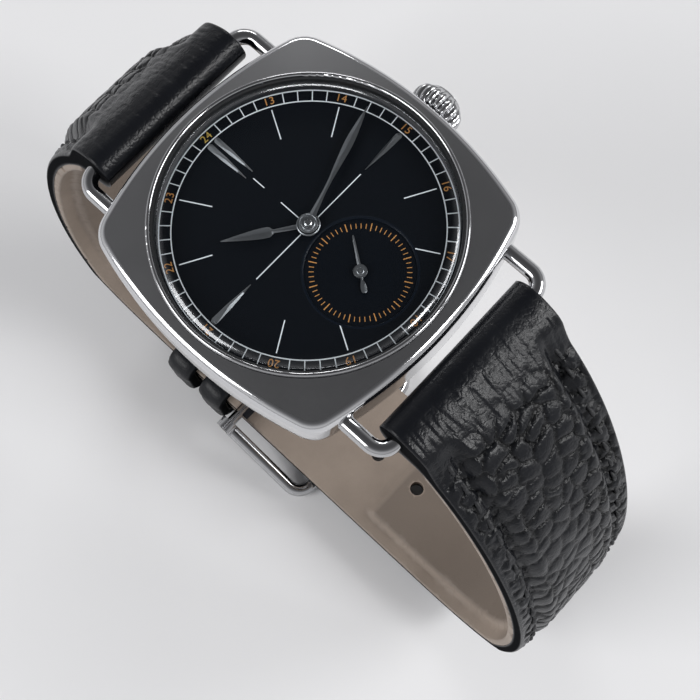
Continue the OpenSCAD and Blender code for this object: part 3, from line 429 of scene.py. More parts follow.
class Nodes:
    """The node tree of a material or of the world."""

    def __init__(self, owner):
        owner.use_nodes = True
        self.owner = owner
        self.tree = owner.node_tree
        self.tree.nodes.clear()

    def add(self, kind, settings=None, sockets=None, out=0):
        """Any node, from its type, its settings and the values or links of its sockets."""
        node = self.tree.nodes.new(kind)
        for key, value in (settings or {}).items():
            if key == "stops":
                self.set_stops(node.color_ramp, value)
            else:
                setattr(node, key, value)
        for key, value in (sockets or {}).items():
            plug(self.tree, node.inputs[key], value)
        return Wire(self.tree, node.outputs[out]) if node.outputs else None

    def set_stops(self, ramp, stops):
        """Sets a colour ramp's stops."""
        while len(ramp.elements) < len(stops):
            ramp.elements.new(0.5)
        for element, (place, tint) in zip(ramp.elements, stops):
            element.position = place
            element.color = tint

    def here(self):
        """Places on the object."""
        return self.add("ShaderNodeTexCoord", out="Object")

    def noise(self, at, scale, detail=2.0, roughness=0.5):
        """Cloudy noise."""
        sockets = {"Vector": at, "Scale": scale, "Detail": detail, "Roughness": roughness}
        return self.add("ShaderNodeTexNoise", sockets=sockets)

    def spots(self, at, scale, feature="F1", randomness=1.0):
        """Distances within scattered cells."""
        sockets = {"Vector": at, "Scale": scale, "Randomness": randomness}
        return self.add("ShaderNodeTexVoronoi", {"feature": feature}, sockets)

    def stretched(self, at, scale=(1, 1, 1), location=(0, 0, 0), rotation=(0, 0, 0)):
        """Places moved, turned and stretched."""
        sockets = {"Vector": at, "Scale": scale, "Location": location, "Rotation": rotation}
        return self.add("ShaderNodeMapping", sockets=sockets)

    def reach(self, at):
        """Distance from the upright axis."""
        flat = self.add("ShaderNodeVectorMath", {"operation": "MULTIPLY"}, {0: at, 1: (1, 1, 0)})
        return self.add("ShaderNodeVectorMath", {"operation": "LENGTH"}, {0: flat}, out="Value")

    def sine(self, value):
        """The value's sine."""
        return self.add("ShaderNodeMath", {"operation": "SINE"}, {0: value})

    def painted(self, name):
        """A number that was marked on the piece's points."""
        return self.add("ShaderNodeAttribute", {"attribute_name": name}, out="Fac")

    def blend(self, factor, first, second):
        """A colour between two."""
        sockets = {0: factor, 6: first, 7: second}
        return self.add("ShaderNodeMix", {"data_type": "RGBA"}, sockets, out=2)

    def within(self, value, low, high):
        """The value's place between two others, held to 0 and 1."""
        sockets = {"Value": value, "From Min": low, "From Max": high}
        return self.add("ShaderNodeMapRange", {"clamp": True}, sockets)

    def bump(self, height, distance, strength):
        """Relief from heights."""
        sockets = {"Height": height, "Distance": distance, "Strength": strength}
        return self.add("ShaderNodeBump", sockets=sockets, out="Normal")

    def principled(self, base, roughness, **fixed):
        """A Principled shader; the fixed values' names are its sockets' with underlines."""
        sockets = {"Base Color": base, "Roughness": roughness}
        sockets.update({key.replace("_", " "): value for key, value in fixed.items()})
        return self.add("ShaderNodeBsdfPrincipled", sockets=sockets)

    def end(self, shader, kind="ShaderNodeOutputMaterial"):
        """Puts the shader on the surface."""
        self.add(kind, sockets={"Surface": shader})
        return self.owner

    def layers(self, factor, first, second):
        """Two shaders, mixed by the factor."""
        return self.end(self.add("ShaderNodeMixShader", sockets={0: factor, 1: first, 2: second}))

    def metal(self, factor, tint, share, roughness, normal):
        """Bare metal whose colour runs from a share of the tint to the whole of it."""
        base = self.blend(factor, colour(tint, share), colour(tint))
        return self.end(self.principled(base, roughness, Metallic=1.0, Normal=normal))


def material(name):
    """The nodes of a new material."""
    return Nodes(bpy.data.materials.new(name))


def plain_metal(name, tint, gloss, wear=0.05):
    """Metal with fine handling marks: slightly uneven roughness and faint scratches."""
    n = material(name)
    at = n.here()
    cloud = n.noise(at, 260.0, 4.0)
    fine = n.noise(n.stretched(at, (1.0, 5.0, 2.0)), 2600.0)
    roughness = (cloud - 0.5) * wear * 2 + fine * wear + gloss
    return n.metal(cloud, tint, 0.88, roughness, n.bump(fine, 0.000004, 0.35))


def case_metal(look):
    """Steel whose top is satin and whose sides are polished, by the points' painted value; the
    sides' colour is also lighter, a painted highlight.
    """
    n = material("case_steel_finish_and_side_shine")
    at = n.here()
    satin = n.painted("satin")
    brush = n.noise(at, 5200.0, 3.0)
    cloud = n.noise(at, 160.0, 4.0)
    gloss = satin * (look.satin - look.polish) + look.polish
    roughness = gloss + (cloud - 0.5) * 0.06 + brush * satin * 0.05
    relief = n.bump(brush * satin, 0.000003, 0.5)
    # The polished sides get a lighter colour than the satin top: a painted highlight
    return n.metal(satin, look.steel, SIDE_SHINE_PAINTED, roughness, relief)


def round_brushed(name, tint, gloss, scale=3000.0):
    """Metal turned on a lathe: rings about the dial's axis."""
    n = material(name)
    at = n.here()
    sockets = {"W": n.reach(at), "Scale": scale, "Detail": 2.0}
    ring = n.add("ShaderNodeTexNoise", {"noise_dimensions": "1D"}, sockets)
    roughness = ring * 0.12 + n.noise(at, 200.0, 3.0) * 0.06 + gloss
    return n.metal(ring, tint, 0.85, roughness, n.bump(ring, 0.000012, 0.5))


def striped_nickel(name, tint, stripe):
    """Bridge metal with broad polished stripes, as on a finished movement."""
    n = material(name)
    at = n.here()
    slant = (0, 0, 0.6)
    settings = {"wave_type": "BANDS", "bands_direction": "X", "wave_profile": "SAW"}
    sockets = {"Vector": n.stretched(at, rotation=slant), "Scale": stripe, "Distortion": 0.0}
    wave = n.add("ShaderNodeTexWave", settings, sockets)
    fine = n.noise(n.stretched(at, (1.0, 12.0, 1.0), rotation=slant), 1500.0)
    relief = n.bump(wave + fine * 0.15, 0.00002, 0.5)
    return n.metal(wave, tint, 0.75, wave * 0.14 + fine * 0.1 + 0.2, relief)


def pearled_plate(name, tint):
    """Plate metal with overlapping round polishing marks."""
    n = material(name)
    spots = n.spots(n.here(), 900.0, randomness=0.25)
    relief = n.bump(n.sine(spots * 60.0), 0.000004, 0.5)
    return n.metal(spots, tint, 0.8, spots * 0.25 + 0.2, relief)


def brushed_hand(name, tint, gloss, angle):
    """Steel brushed along one direction on the dial."""
    n = material(name)
    at = n.stretched(n.here(), (1.0, 14.0, 1.0), rotation=(0, 0, angle))
    streak = n.noise(at, 3800.0, 3.0)
    return n.metal(streak, tint, 0.7, streak * 0.18 + gloss, n.bump(streak, 0.000006, 0.5))


def enamel(name, base, gloss, speck=0.3):
    """Dial lacquer, or the ink printed on it: a colour with a very fine grain."""
    n = material(name)
    at = n.here()
    fine = n.noise(at, 9000.0)
    mottled = n.blend(n.noise(at, 220.0, 3.0) * speck, colour(base), colour(base, 1.5))
    return n.end(n.principled(mottled, fine * 0.08 + gloss, Specular_IOR_Level=0.15,
                              Normal=n.bump(fine, 0.000002, 0.5)))


def grooved_enamel(name, base, gloss):
    """The small dial's lacquer over fine turned circles."""
    n = material(name)
    at = n.stretched(n.here(), location=(-SECONDS_AT[0] * MM, -SECONDS_AT[1] * MM, 0))
    groove = n.sine(n.reach(at) * 38000.0)
    circles = n.blend(groove * 0.5 + 0.5, colour(base), colour(base, 1.35))
    return n.end(n.principled(circles, groove * 0.04 + gloss, Specular_IOR_Level=0.15,
                              Normal=n.bump(groove, 0.000008, 0.5)))


def clear_glass(name):
    """Watch glass: clear, with a thin reflection that grows at grazing angles."""
    n = material(name)
    smear = n.noise(n.here(), 90.0, 3.0)
    rim = n.painted("rim")
    away = n.add("ShaderNodeLayerWeight", sockets={"Blend": 0.5}, out="Facing")
    edge = (away ** 5 * 0.9 + rim * 0.11 + 0.01) * (1 - n.painted("underside"))
    clear = n.add("ShaderNodeBsdfTransparent", sockets={"Color": (0.97, 0.985, 0.99, 1.0)})
    sockets = {"Color": (0.95, 0.97, 1.0, 1.0), "Roughness": smear * 0.02 + rim * 0.12}
    return n.layers(edge, clear, n.add("ShaderNodeBsdfGlossy", sockets=sockets))


def grained_leather(name, look, shine=0.28):
    """Pebbled leather: its mesh has the creases, which are also painted darker as painted shade;
    the pores are here and cut edges are painted.
    """
    n = material(name)
    at = n.here()
    crease = n.painted("crease")
    edge = n.painted("cut_edge")
    pores = n.spots(at, 3600.0)
    folds = n.within(n.spots(at, 1500.0, "DISTANCE_TO_EDGE"), 0.0, 0.2)
    cloud = n.noise(at, 130.0, 4.0)
    fine = n.noise(at, 7000.0)
    worn = n.blend(cloud, colour(look.leather), colour([c * 1.8 + 0.004 for c in look.leather]))
    # The creases are coloured darker: painted shade where the creases would lie in shadow
    skin = n.blend(crease, worn, colour(look.leather, 0.35))
    raw = colour(look.leather, 0.6)
    roughness = crease * 0.05 + (cloud - 0.5) * 0.16 + edge * 0.55 + shine
    relief = folds * (crease * 0.9 + 0.25) + pores * -0.25 + fine * 0.25
    outer = n.principled(n.blend(edge, skin, raw), roughness, Specular_IOR_Level=0.26,
                         Normal=n.bump(relief, 0.00006, 0.6))
    cut = n.add("ShaderNodeBsdfDiffuse", sockets={"Color": raw})
    return n.layers(edge * 0.75, outer, cut)


def lining_leather(name, look):
    """Undyed lining: pale, with pores and faint bending creases, and its raised middle painted
    darker as painted shade.
    """
    n = material(name)
    at = n.here()
    pores = n.spots(at, 4200.0)
    cloud = n.noise(at, 70.0, 5.0, 0.6)
    crease = n.noise(n.stretched(at, (0.35, 1.0, 1.0)), 900.0, 3.0)
    worn = n.blend(n.within(cloud, 0.3, 0.75), colour(look.lining, 0.72), colour(look.lining))
    # The raised middle is darker: painted shade, as it faces away from the light
    pad_painted_shade = n.blend(n.painted("pad"), worn, colour(look.lining, 0.5))
    return n.end(n.principled(pad_painted_shade, cloud * 0.15 + 0.45, Specular_IOR_Level=0.3,
                              Normal=n.bump(crease * 0.6 + pores * -0.35, 0.00006, 0.5)))


def waxed_thread(name, look):
    """Twisted thread: fine slanting ridges."""
    n = material(name)
    sockets = {"Vector": n.here(), "Scale": 900.0, "Distortion": 0.6}
    twist = n.add("ShaderNodeTexWave", {"bands_direction": "DIAGONAL"}, sockets)
    strand = n.blend(twist, colour(look.thread, 0.5), colour(look.thread))
    return n.end(n.principled(strand, twist * 0.1 + 0.5, Normal=n.bump(twist, 0.00004, 0.6)))


def rubber(name, base):
    """Dull rubber for the seals."""
    n = material(name)
    fine = n.noise(n.here(), 3000.0, 3.0)
    dull = n.blend(fine, colour(base, 0.7), colour(base))
    return n.end(n.principled(dull, fine * 0.2 + 0.5, Normal=n.bump(fine, 0.00001, 0.4)))


# Outlines and surfaces of this watch

def cushion_turns():
    """Directions round the case, closer together at its corners, and where its corners start."""
    side_c = SIDE_R - CASE_SIDE
    corner_c = (math.sqrt(2 * (SIDE_R - CORNER_R) ** 2 - side_c ** 2) - side_c) / 2
    touch = np.array([corner_c, corner_c + side_c]) / (SIDE_R - CORNER_R) * SIDE_R
    touch = np.array([0, -side_c]) + touch
    meet = math.atan2(touch[0], touch[1])
    eighth = np.concatenate([np.linspace(0, meet, 22)[:-1], np.linspace(meet, QUARTER / 2, 12)])
    quarter = np.concatenate([eighth, QUARTER - eighth[::-1][1:]])[:-1]
    return np.concatenate([quarter + k * QUARTER for k in range(4)]), meet, side_c, corner_c


def cushion(inset):
    """The case's outline, drawn in by the inset, as distances from the centre in each direction."""
    turns, meet, side_c, corner_c = cushion_turns()
    local = np.abs((turns + QUARTER / 2) % QUARTER - QUARTER / 2)
    side_r = SIDE_R - inset
    to_side = -side_c * np.cos(local) + np.sqrt(side_r ** 2 - (side_c * np.sin(local)) ** 2)
    along = corner_c * (np.cos(local) + np.sin(local))
    rest = (CORNER_R - inset) ** 2 - 2 * corner_c ** 2 + along ** 2
    to_corner = along + np.sqrt(np.maximum(rest, 0))
    return turns, np.where(local < meet, to_side, to_corner)


def case_rings():
    """Rings of the case from its bore outwards and back over its top, and how satin each one is."""
    turns = cushion(0)[0]

    def level(reach, height):
        flat = np.stack([reach * np.cos(turns), reach * np.sin(turns)], 1)
        return np.column_stack([flat, np.broadcast_to(DIAL_Z + height, len(turns))])

    # Down the bore to the back, up the outer skin, in across the top and down to the glass seat
    bore = ((FLANGE_R, GLASS_SEAT), (FLANGE_R, 0.3), (FLANGE_R, -0.4), (BAY_R, -0.4),
            (BAY_R, -2.6), (BAY_R, -CASE_DEPTH))
    rings = [level(np.full(len(turns), r), z) for r, z in bore]
    edge = cushion(SKIN[-1][1])[1]
    lift = CASE_TOP - TOP_FALL * (edge - BEZEL_R) - SKIN[-1][0]
    for z, inset in SKIN:
        rings.append(level(cushion(inset)[1], z + lift * ease(z, -1.2, SKIN[-1][0])))
    satin = [0] * len(rings)
    for t in (0.0, 0.03, 0.1, 0.25, 0.4, 0.55, 0.7, 0.85, 0.96, 1.0):
        reach = edge - 0.04 + (BEZEL_R + 0.08 - edge) * t
        rings.append(level(reach, CASE_TOP - TOP_FALL * (reach - BEZEL_R)))
        satin.append(1)
    for z in (CASE_TOP - 0.05, 1.4, GLASS_SEAT):
        rings.append(level(np.full(len(turns), BEZEL_R), z))
        satin.append(0)
    return np.array(rings), np.array(satin, float)


def bezier(points, t):
    """Points on a cubic curve through four guides."""
    a, b, c, d = (np.array(p) for p in points)
    t = t[:, None]
    return (1 - t) ** 3 * a + 3 * (1 - t) ** 2 * t * b + 3 * (1 - t) * t ** 2 * c + t ** 3 * d


class Loop:
    """One half of the strap's loop, seen from the side."""

    def __init__(self, curve, run, mirrored):
        bow_steps, run_steps = 2000, 400
        t = np.linspace(0, 1, bow_steps + 1)
        bow = bezier(curve, t)
        run_y = np.linspace(0, run, run_steps + 1)[1:]
        straight = bow[-1] + np.stack([run_y, np.zeros(run_steps)], 1)
        self.line = np.vstack([bow, straight])
        self.taper = np.concatenate([t, np.ones(run_steps)])
        step = np.linalg.norm(np.diff(self.line, axis=0), axis=1)
        self.along = np.concatenate([[0], np.cumsum(step)])
        self.length = self.along[-1]
        self.side = -1.0 if mirrored else 1.0

    def at(self, s):
        """Place, outward direction and taper at lengths from the lug bar.

        Before the bar the line runs straight back.
        """
        s = np.asarray(s, float)
        held = np.clip(s, 0, self.length)
        y = np.interp(held, self.along, self.line[:, 0])
        z = np.interp(held, self.along, self.line[:, 1])
        step = 0.02
        near = np.clip(held, step, self.length - step)
        dy, dz = (
            np.interp(near + step, self.along, row) - np.interp(near - step, self.along, row)
            for row in self.line.T
        )
        size = np.hypot(dy, dz)
        dy, dz = dy / size, dz / size
        over = s - held
        place = np.stack([y + over * dy, z + over * dz], -1)
        return place, np.stack([dz, -dy], -1), np.interp(held, self.along, self.taper)

    def points(self, s, offset, share):
        """Points in mm at lengths s, an offset outwards and a share of the half width."""
        place, out, _ = self.at(s)
        y = place[..., 0] + out[..., 0] * offset
        z = place[..., 1] + out[..., 1] * offset
        low = np.clip((LUG_Z - z) / (LUG_Z - FOOT_Z), 0, 1)
        half = TOP_HALF + (FOOT_HALF - TOP_HALF) * low
        x = -LEAN * low + half * share
        return np.stack([x, y * self.side, z], -1)

    def half_width(self, s):
        """The strap's half width at lengths s."""
        return self.points(s, 0.0, 1.0)[..., 0] - self.points(s, 0.0, 0.0)[..., 0]


def ease(value, low, high):
    """A soft step from 0 at the low value to 1 at the high one."""
    t = np.clip((value - low) / (high - low), 0, 1)
    return t * t * (3 - 2 * t)


def lumps(x, y, seed):
    """Smooth random heights between -1 and 1 on a unit lattice."""
    table = np.random.default_rng(seed).uniform(-1, 1, (64, 64))
    i, j = np.floor(x).astype(int), np.floor(y).astype(int)
    u, v = x - i, y - j
    u, v = u * u * (3 - 2 * u), v * v * (3 - 2 * v)
    a = table[i % 64, j % 64] * (1 - u) + table[(i + 1) % 64, j % 64] * u
    b = table[i % 64, (j + 1) % 64] * (1 - u) + table[(i + 1) % 64, (j + 1) % 64] * u
    return a * (1 - v) + b * v


def cells(x, y, seed, jitter=0.85):
    """Distances to the nearest and the next nearest of scattered points, one to a unit cell."""
    shift = np.random.default_rng(seed).uniform(0.5 - jitter / 2, 0.5 + jitter / 2, (2, 128, 128))
    i, j = np.floor(x).astype(int), np.floor(y).astype(int)
    near = np.full(x.shape, 9.0)
    second = np.full(x.shape, 9.0)
    for di in (-1, 0, 1):
        for dj in (-1, 0, 1):
            a, b = i + di, j + dj
            gap = np.hypot(a + shift[0, a % 128, b % 128] - x, b + shift[1, a % 128, b % 128] - y)
            second = np.where(gap < near, near, np.minimum(second, gap))
            near = np.minimum(near, gap)
    return near, second


def grain(s, x, look, seed):
    """Height in mm of pebbled leather at lengths s and widths x, and how creased it is there."""
    cell = look.pebble / MM

    def bent(line, first_seed):
        broad = 0.5 * lumps(s / 2.6, x / 2.6, first_seed)
        return line + broad + 0.2 * lumps(s / 0.9, x / 0.9, first_seed + 1)

    bend_s = bent(s, seed + 1)
    bend_x = bent(x, seed + 3)
    # Pebbles are cells of bent coordinates, parted by cracks of uneven strength and fine wrinkles
    near, second = cells(bend_s / cell, bend_x / (cell * 1.1), seed, 0.75)
    gap = second - near
    strength = np.clip(0.72 + 0.5 * lumps(s / 4.3, x / 4.3, seed + 5), 0.2, 1)
    crack = np.exp(-(gap / CRACK_W) ** 2) * strength
    fringe = np.exp(-(gap / FRINGE_W) ** 2) * strength
    fine_near, fine_second = cells(bend_s / 0.62 + 7, bend_x / 0.5, seed + 6)
    wrinkle = np.exp(-((fine_second - fine_near) / WRINKLE_W) ** 2)
    # Beside the lug bar the pebbles are pressed flat and the leather is pleated along its length
    fold = 1 - ease(s, 5.0, 9.5)
    drift = 0.3 * lumps(s / 1.5, x, seed + 9)
    sway = 0.35 * lumps(s / 1.2, x / 1.4, seed + 10)
    pleat = lumps(s / 2.2 + drift, x / 0.38 + sway, seed + 8)
    calm = 0.1 + 0.9 * ease(s, 3.4, 7.4)
    pebble = PEBBLE_RISE * (0.2 - near ** 2)
    height = (-look.crease_depth / MM * crack - WRINKLE_DEPTH * wrinkle * fringe + pebble) * calm
    height += PLEAT_DEPTH * (0.5 - np.abs(pleat)) * fold * ease(s, -1.5, 0.5)
    return height, np.clip(crack + 0.5 * wrinkle * fringe, 0, 1) * calm


def strap_section(loop, s, end_t, d):
    """Heights of the upper leather's outer face at lengths s and distances d in from its edge."""
    taper = loop.at(s)[2]
    # The padded middle and the margins each taper from the lugs to the buckle's end
    full = PAD_T / 2 + (end_t / 2 - PAD_T / 2) * taper
    edge_start = EDGE_T + LINING_T - PAD_T / 2 - 0.9
    edge_end = min(EDGE_T, end_t) - end_t / 2
    edge = edge_start + (edge_end - edge_start) * taper
    margin = ease(s, 2.0, 6.5)
    pad = ease(d, PAD_FROM, PAD_FULL)
    top = full + (edge - full) * (1 - pad) * margin
    swell = SWELL * np.exp(-((d - SWELL_AT) / 0.7) ** 2)
    groove = GROOVE_DEPTH * np.exp(-((d - GROOVE_AT) / 0.4) ** 2)
    top += (swell - groove) * margin
    # Next to the bar it is as thick as the roll round the bar
    wrap = ease(s, 0.0, 4.5)
    top = WRAP_R + (top - WRAP_R) * wrap
    nose = np.sqrt(np.clip(WRAP_R ** 2 - np.minimum(s, 0) ** 2, 0, None))
    return np.where(s < 0, nose, top)


def strap_under(loop, s, end_t):
    """Heights of the upper leather's inner face, where the lining meets it."""
    taper = loop.at(s)[2]
    under = LINING_T - PAD_T / 2 + (PAD_T / 2 - end_t / 2) * taper
    under = -WRAP_R + (under + WRAP_R) * ease(s, 0.3, 5.0)
    nose = -np.sqrt(np.clip(WRAP_R ** 2 - np.minimum(s, 0) ** 2, 0, None))
    return np.where(s < 0, nose, under)


def strap_lengths(loop, reach, count):
    """Lengths with a ring of points, close together where the outer face shows."""
    nose = -WRAP_R * np.cos(np.linspace(0.03, QUARTER, 14))[:-1]
    shown = np.arange(0, SHOWN_LENGTH, FINE)
    rest = np.arange(SHOWN_LENGTH, loop.length - reach, 2 * FINE)
    ends = loop.length - reach + reach * np.sin(np.linspace(0, QUARTER, count)[1:])
    return np.concatenate([nose, shown, rest, ends])


def round_end(loop, lengths, reach, least):
    """The share of its full size that a strap with a rounded end keeps at each length."""
    past = np.clip(lengths - (loop.length - reach), 0, reach)
    return np.sqrt(np.clip(1 - (past / reach) ** 2, least, 1))


def upper_leather(name, loop, end_t, look, seed, tail=False):
    """The padded upper leather: wrapped round the lug bar, domed between margins and creased."""
    edge_steps = np.array([0, 0.05, 0.12, 0.22, 0.35])
    inner = np.linspace(0.5, 2 * TOP_HALF - 0.5, int((2 * TOP_HALF - 1) / FINE))
    across = np.concatenate([edge_steps, inner, 2 * TOP_HALF - edge_steps[::-1]]) / TOP_HALF - 1
    back = np.linspace(1, -1, 22)
    rise = np.array([0.3, 0.5, 0.7])
    reach = TIP_REACH if tail else SHORT_REACH
    lengths = strap_lengths(loop, reach, 30 if tail else 12)
    s, v = np.meshgrid(lengths, across, indexing="ij")
    half = loop.half_width(s)
    rounded = round_end(loop, lengths, reach, 0.0004)
    whole = np.ones_like(lengths)
    squeeze, thin = (rounded, whole) if tail else (whole, rounded)
    x = v * half
    d = (1 - np.abs(v)) * half
    top = strap_section(loop, s, end_t, d)
    height, crease = grain(s, x, look, seed)
    keep = ease(d, 0.15, 0.9)
    crumple = lumps(s / 0.75, x / 0.6, seed + 12) + 0.5 * lumps(s / 0.4, x / 0.35, seed + 13)
    margins = (1 - ease(d, 2.4, 3.2)) * ease(s, 4.0, 7.0)
    top = top + height * keep + 0.09 * crumple * margins * keep
    corner = 0.35
    fall = np.clip(corner ** 2 - np.clip(corner - d, 0, corner) ** 2, 0, None)
    top = top - (corner - np.sqrt(fall))
    # Each ring runs over the top, down one cut edge, back underneath and up the other edge
    under = strap_under(loop, lengths, end_t)
    mid = (top[:, [0]] + under[:, None]) / 2
    sides_r = under[:, None] + (top[:, [-1]] - under[:, None]) * rise[::-1]
    sides_l = under[:, None] + (top[:, [0]] - under[:, None]) * rise
    bottom = np.repeat(under[:, None], len(back), 1)
    offsets = np.concatenate([top, sides_r, bottom, sides_l], 1)
    shares = np.concatenate([across, np.ones(len(rise)), back, -np.ones(len(rise))])
    offsets = mid + (offsets - mid) * thin[:, None]
    all_s = np.repeat(lengths[:, None], len(shares), 1)
    rings = loop.points(all_s, offsets, shares[None, :] * squeeze[:, None])
    # The crease mask also darkens the leather's colour in the creases, as painted shade
    creases = np.zeros(all_s.shape)
    creases[:, :len(across)] = crease * keep
    edges = np.zeros(all_s.shape)
    edges[:, len(across) - 1:len(across) + len(rise)] = 1
    edges[:, -len(rise):] = 1
    edges[:, 0] = 1
    first = loop.points(np.array([-WRAP_R]), 0.0, 0.0)[0]
    return smooth(ball_sleeve(name, rings, first, crease=creases, cut_edge=edges), 50)


def lining(name, loop, end_t, tail=False):
    """The lining: flat stitched margins and a raised middle that ends where the strap is thin."""
    step = 0.5
    lengths = np.arange(4.6, loop.length - (TIP_REACH if tail else 1.6), step)
    squeeze = np.ones_like(lengths)
    if tail:
        tip = loop.length - TIP_REACH + TIP_REACH * np.sin(np.linspace(0, QUARTER, 24)[:-1])
        lengths = np.concatenate([lengths, tip])
        squeeze = round_end(loop, lengths, TIP_REACH, 0.001)
    place, _, taper = loop.at(lengths)
    inner = -PAD_T / 2 + (PAD_T / 2 - end_t / 2) * taper
    outer = inner + LINING_T - 0.03
    edge = 0.995
    across = np.concatenate([[-edge, -0.985], np.linspace(-0.97, 0.97, 56), [0.985, edge]])
    back = np.linspace(edge, -edge, 14)
    d = (1 - np.abs(across)) * TOP_HALF
    rise = ease(d, BOLSTER_W * 0.75, BOLSTER_W + 0.35)
    ends = ease(-BOLSTER_END - place[:, 0], -0.3, 1.1) * ease(lengths, 5.0, 9.0)
    wrinkle = 0.05 * lumps(lengths[:, None] / 1.7, across[None, :] * 1.3, 77)
    full = rise[None, :] * ends[:, None]
    welt = np.exp(-((full - 0.8) / 0.25) ** 2)
    low = inner[:, None] - BOLSTER_T * full - 0.2 * welt + wrinkle * ease(d, 0.3, 2.0)
    # Its side edges are eased, and its first end is thin where it goes under the roll
    low[:, [0, -1]] += 0.25
    low[0] = outer[0] - 0.1
    low[1] = (low[0] + low[2]) / 2
    offsets = np.concatenate([low, np.repeat(outer[:, None], len(back), 1)], 1)
    shares = np.concatenate([across, back])
    all_s = np.repeat(lengths[:, None], len(shares), 1)
    rings = loop.points(all_s, offsets, shares[None, :] * squeeze[:, None])
    # The raised middle is marked for the material, which paints it darker as painted shade
    pad = np.zeros(all_s.shape)
    pad[:, :len(across)] = ease(full, 0.75, 1.0) * 0.8
    return smooth(ball_sleeve(name, rings, pad=pad), 78)


def frame_axes(along, up):
    """A turn that takes X to the first direction and Z close to the second."""
    x = Vector(along).normalized()
    y = Vector(up).cross(x).normalized()
    z = x.cross(y)
    return Matrix((x, y, z)).transposed().to_4x4()


def stitch_shape(length, thick):
    """One stitch, a ball drawn out along X whose ends dip into the leather."""
    half, thin = length * MM / 2, thick * MM / 2
    select_nothing()
    bpy.ops.mesh.primitive_uv_sphere_add(segments=8, ring_count=7, radius=1)
    stitch = bpy.context.object
    bpy.ops.object.mode_set(mode="EDIT")
    bpy.ops.mesh.select_all(action="SELECT")
    bpy.ops.transform.rotate(value=QUARTER, orient_axis="Y", center_override=(0, 0, 0))
    bpy.ops.transform.resize(value=(half, thin, thin), center_override=(0, 0, 0))
    mesh = bmesh.from_edit_mesh(stitch.data)
    for v in mesh.verts:
        v.co.z -= STITCH_DIP * MM * (abs(v.co.x) / half) ** 3
    bmesh.update_edit_mesh(stitch.data)
    bpy.ops.object.mode_set(mode="OBJECT")
    bpy.ops.object.shade_smooth()
    return stitch


def stitch_places(loop, end_t, look, last, tail=False):
    """Where each stitch of a strap lies, down both margins and, on the tail, round its tip."""
    places = []
    for side in (-1.0, 1.0):
        s = STITCH_FIRST
        while s < last:
            at, next_to = np.array([s]), np.array([s + 0.4])
            half = loop.half_width(at)[0]
            share = side * (half - STITCH_INSET) / half
            top = strap_section(loop, at, end_t, np.array([STITCH_INSET]))[0]
            here = loop.points(at, top + 0.05, share)[0]
            ahead = loop.points(next_to, top + 0.05, share)[0]
            out = loop.points(at, top + 1.0, share)[0] - here
            turn = frame_axes(ahead - here, out) @ Matrix.Rotation(side * STITCH_SLANT, 4, "Z")
            places.append(Matrix.Translation(Vector(here * MM)) @ turn)
            s += look.stitch / MM
    if tail:
        middle = Vector((-LEAN, TAIL_TIP - FOOT_HALF, TAIL_LOW))
        reach = FOOT_HALF - STITCH_INSET
        for k in range(TIP_STITCHES):
            a = math.pi * (k + 1) / (TIP_STITCHES + 1)
            spot = middle + Vector((reach * math.cos(a), reach * math.sin(a), 0.02))
            turn = frame_axes((-math.sin(a), math.cos(a), 0), (0, 0, -1))
            places.append(Matrix.Translation(spot * MM) @ turn)
    return places


def hole_cutter(x, y, low, high, r, stretch=0.0):
    """A round cutter in mm, or a slot's cutter where its two halves are drawn apart along Y."""
    select_nothing()
    place = (x * MM, y * MM, (low + high) / 2 * MM)
    bpy.ops.mesh.primitive_cylinder_add(
        vertices=28, radius=r * MM, depth=(high - low) * MM, location=place)
    cutter = bpy.context.object
    for v in cutter.data.vertices:
        v.co.y += math.copysign(stretch * MM, v.co.y)
    return settle(cutter)


def cut_away(piece, *cutters):
    """Cuts the tools out of a piece. The manifold solver leaves the mesh closed."""
    tool = join("cutter", *cutters)
    finish_modifier(piece, "BOOLEAN", operation="DIFFERENCE", solver="MANIFOLD", object=tool)
    bpy.data.objects.remove(tool)
    return piece


def leaf(name, stations, low, mid, top, angle=0.0, centre=(0.0, 0.0), side=0.0):
    """A hand or marker: six-sided ridged sections along +Y, from places and half widths."""
    y, w = np.array(stations).T
    zero = np.zeros_like(y)
    ridge = mid + (top - mid) * np.clip(w / max(w), 0.15, 1)
    corners = ((-w, zero + low), (-w, zero + mid), (zero, ridge), (w, zero + mid),
               (w, zero + low), (zero, zero + low))
    rings = np.stack([np.stack([side + x, y, z], 1) for x, z in corners], 1)
    rings[..., 2] += DIAL_Z
    c, s = math.cos(angle), math.sin(angle)
    flat = rings[..., :2] @ np.array([[c, s], [-s, c]])
    rings[..., :2] = flat + np.array(centre)
    return smooth(ball_sleeve(name, rings), 20)


def bar(length, width, height):
    """A thin bar along +Y with eased edges, its inner end at the origin."""
    select_nothing()
    bpy.ops.mesh.primitive_cube_add(size=1, location=(0, length * MM / 2, height * MM / 2))
    piece = bpy.context.object
    piece.scale = (width * MM, length * MM, height * MM)
    settle(piece)
    bpy.ops.object.mode_set(mode="EDIT")
    bpy.ops.mesh.select_all(action="SELECT")
    bpy.ops.mesh.bevel(offset=min(width, height) * 0.2 * MM, segments=1)
    bpy.ops.object.mode_set(mode="OBJECT")
    return piece


def spoke_places(angles, radius, height, centre=(0.0, 0.0)):
    """Places pointing outwards at clock angles in degrees, a radius away from the centre."""
    at = Matrix.Translation(Vector((centre[0], centre[1], DIAL_Z + height)) * MM)
    out = Matrix.Translation((0, radius * MM, 0))
    return [at @ Matrix.Rotation(-math.radians(a), 4, "Z") @ out for a in angles]


def printed_ring(name, r, width):
    """A printed circle on the dial."""
    a, b = r - width / 2, r + width / 2
    return turned(name, [(a, 0), (a, PRINT_T), (b, PRINT_T), (b, 0)], steps=180, closed=True)


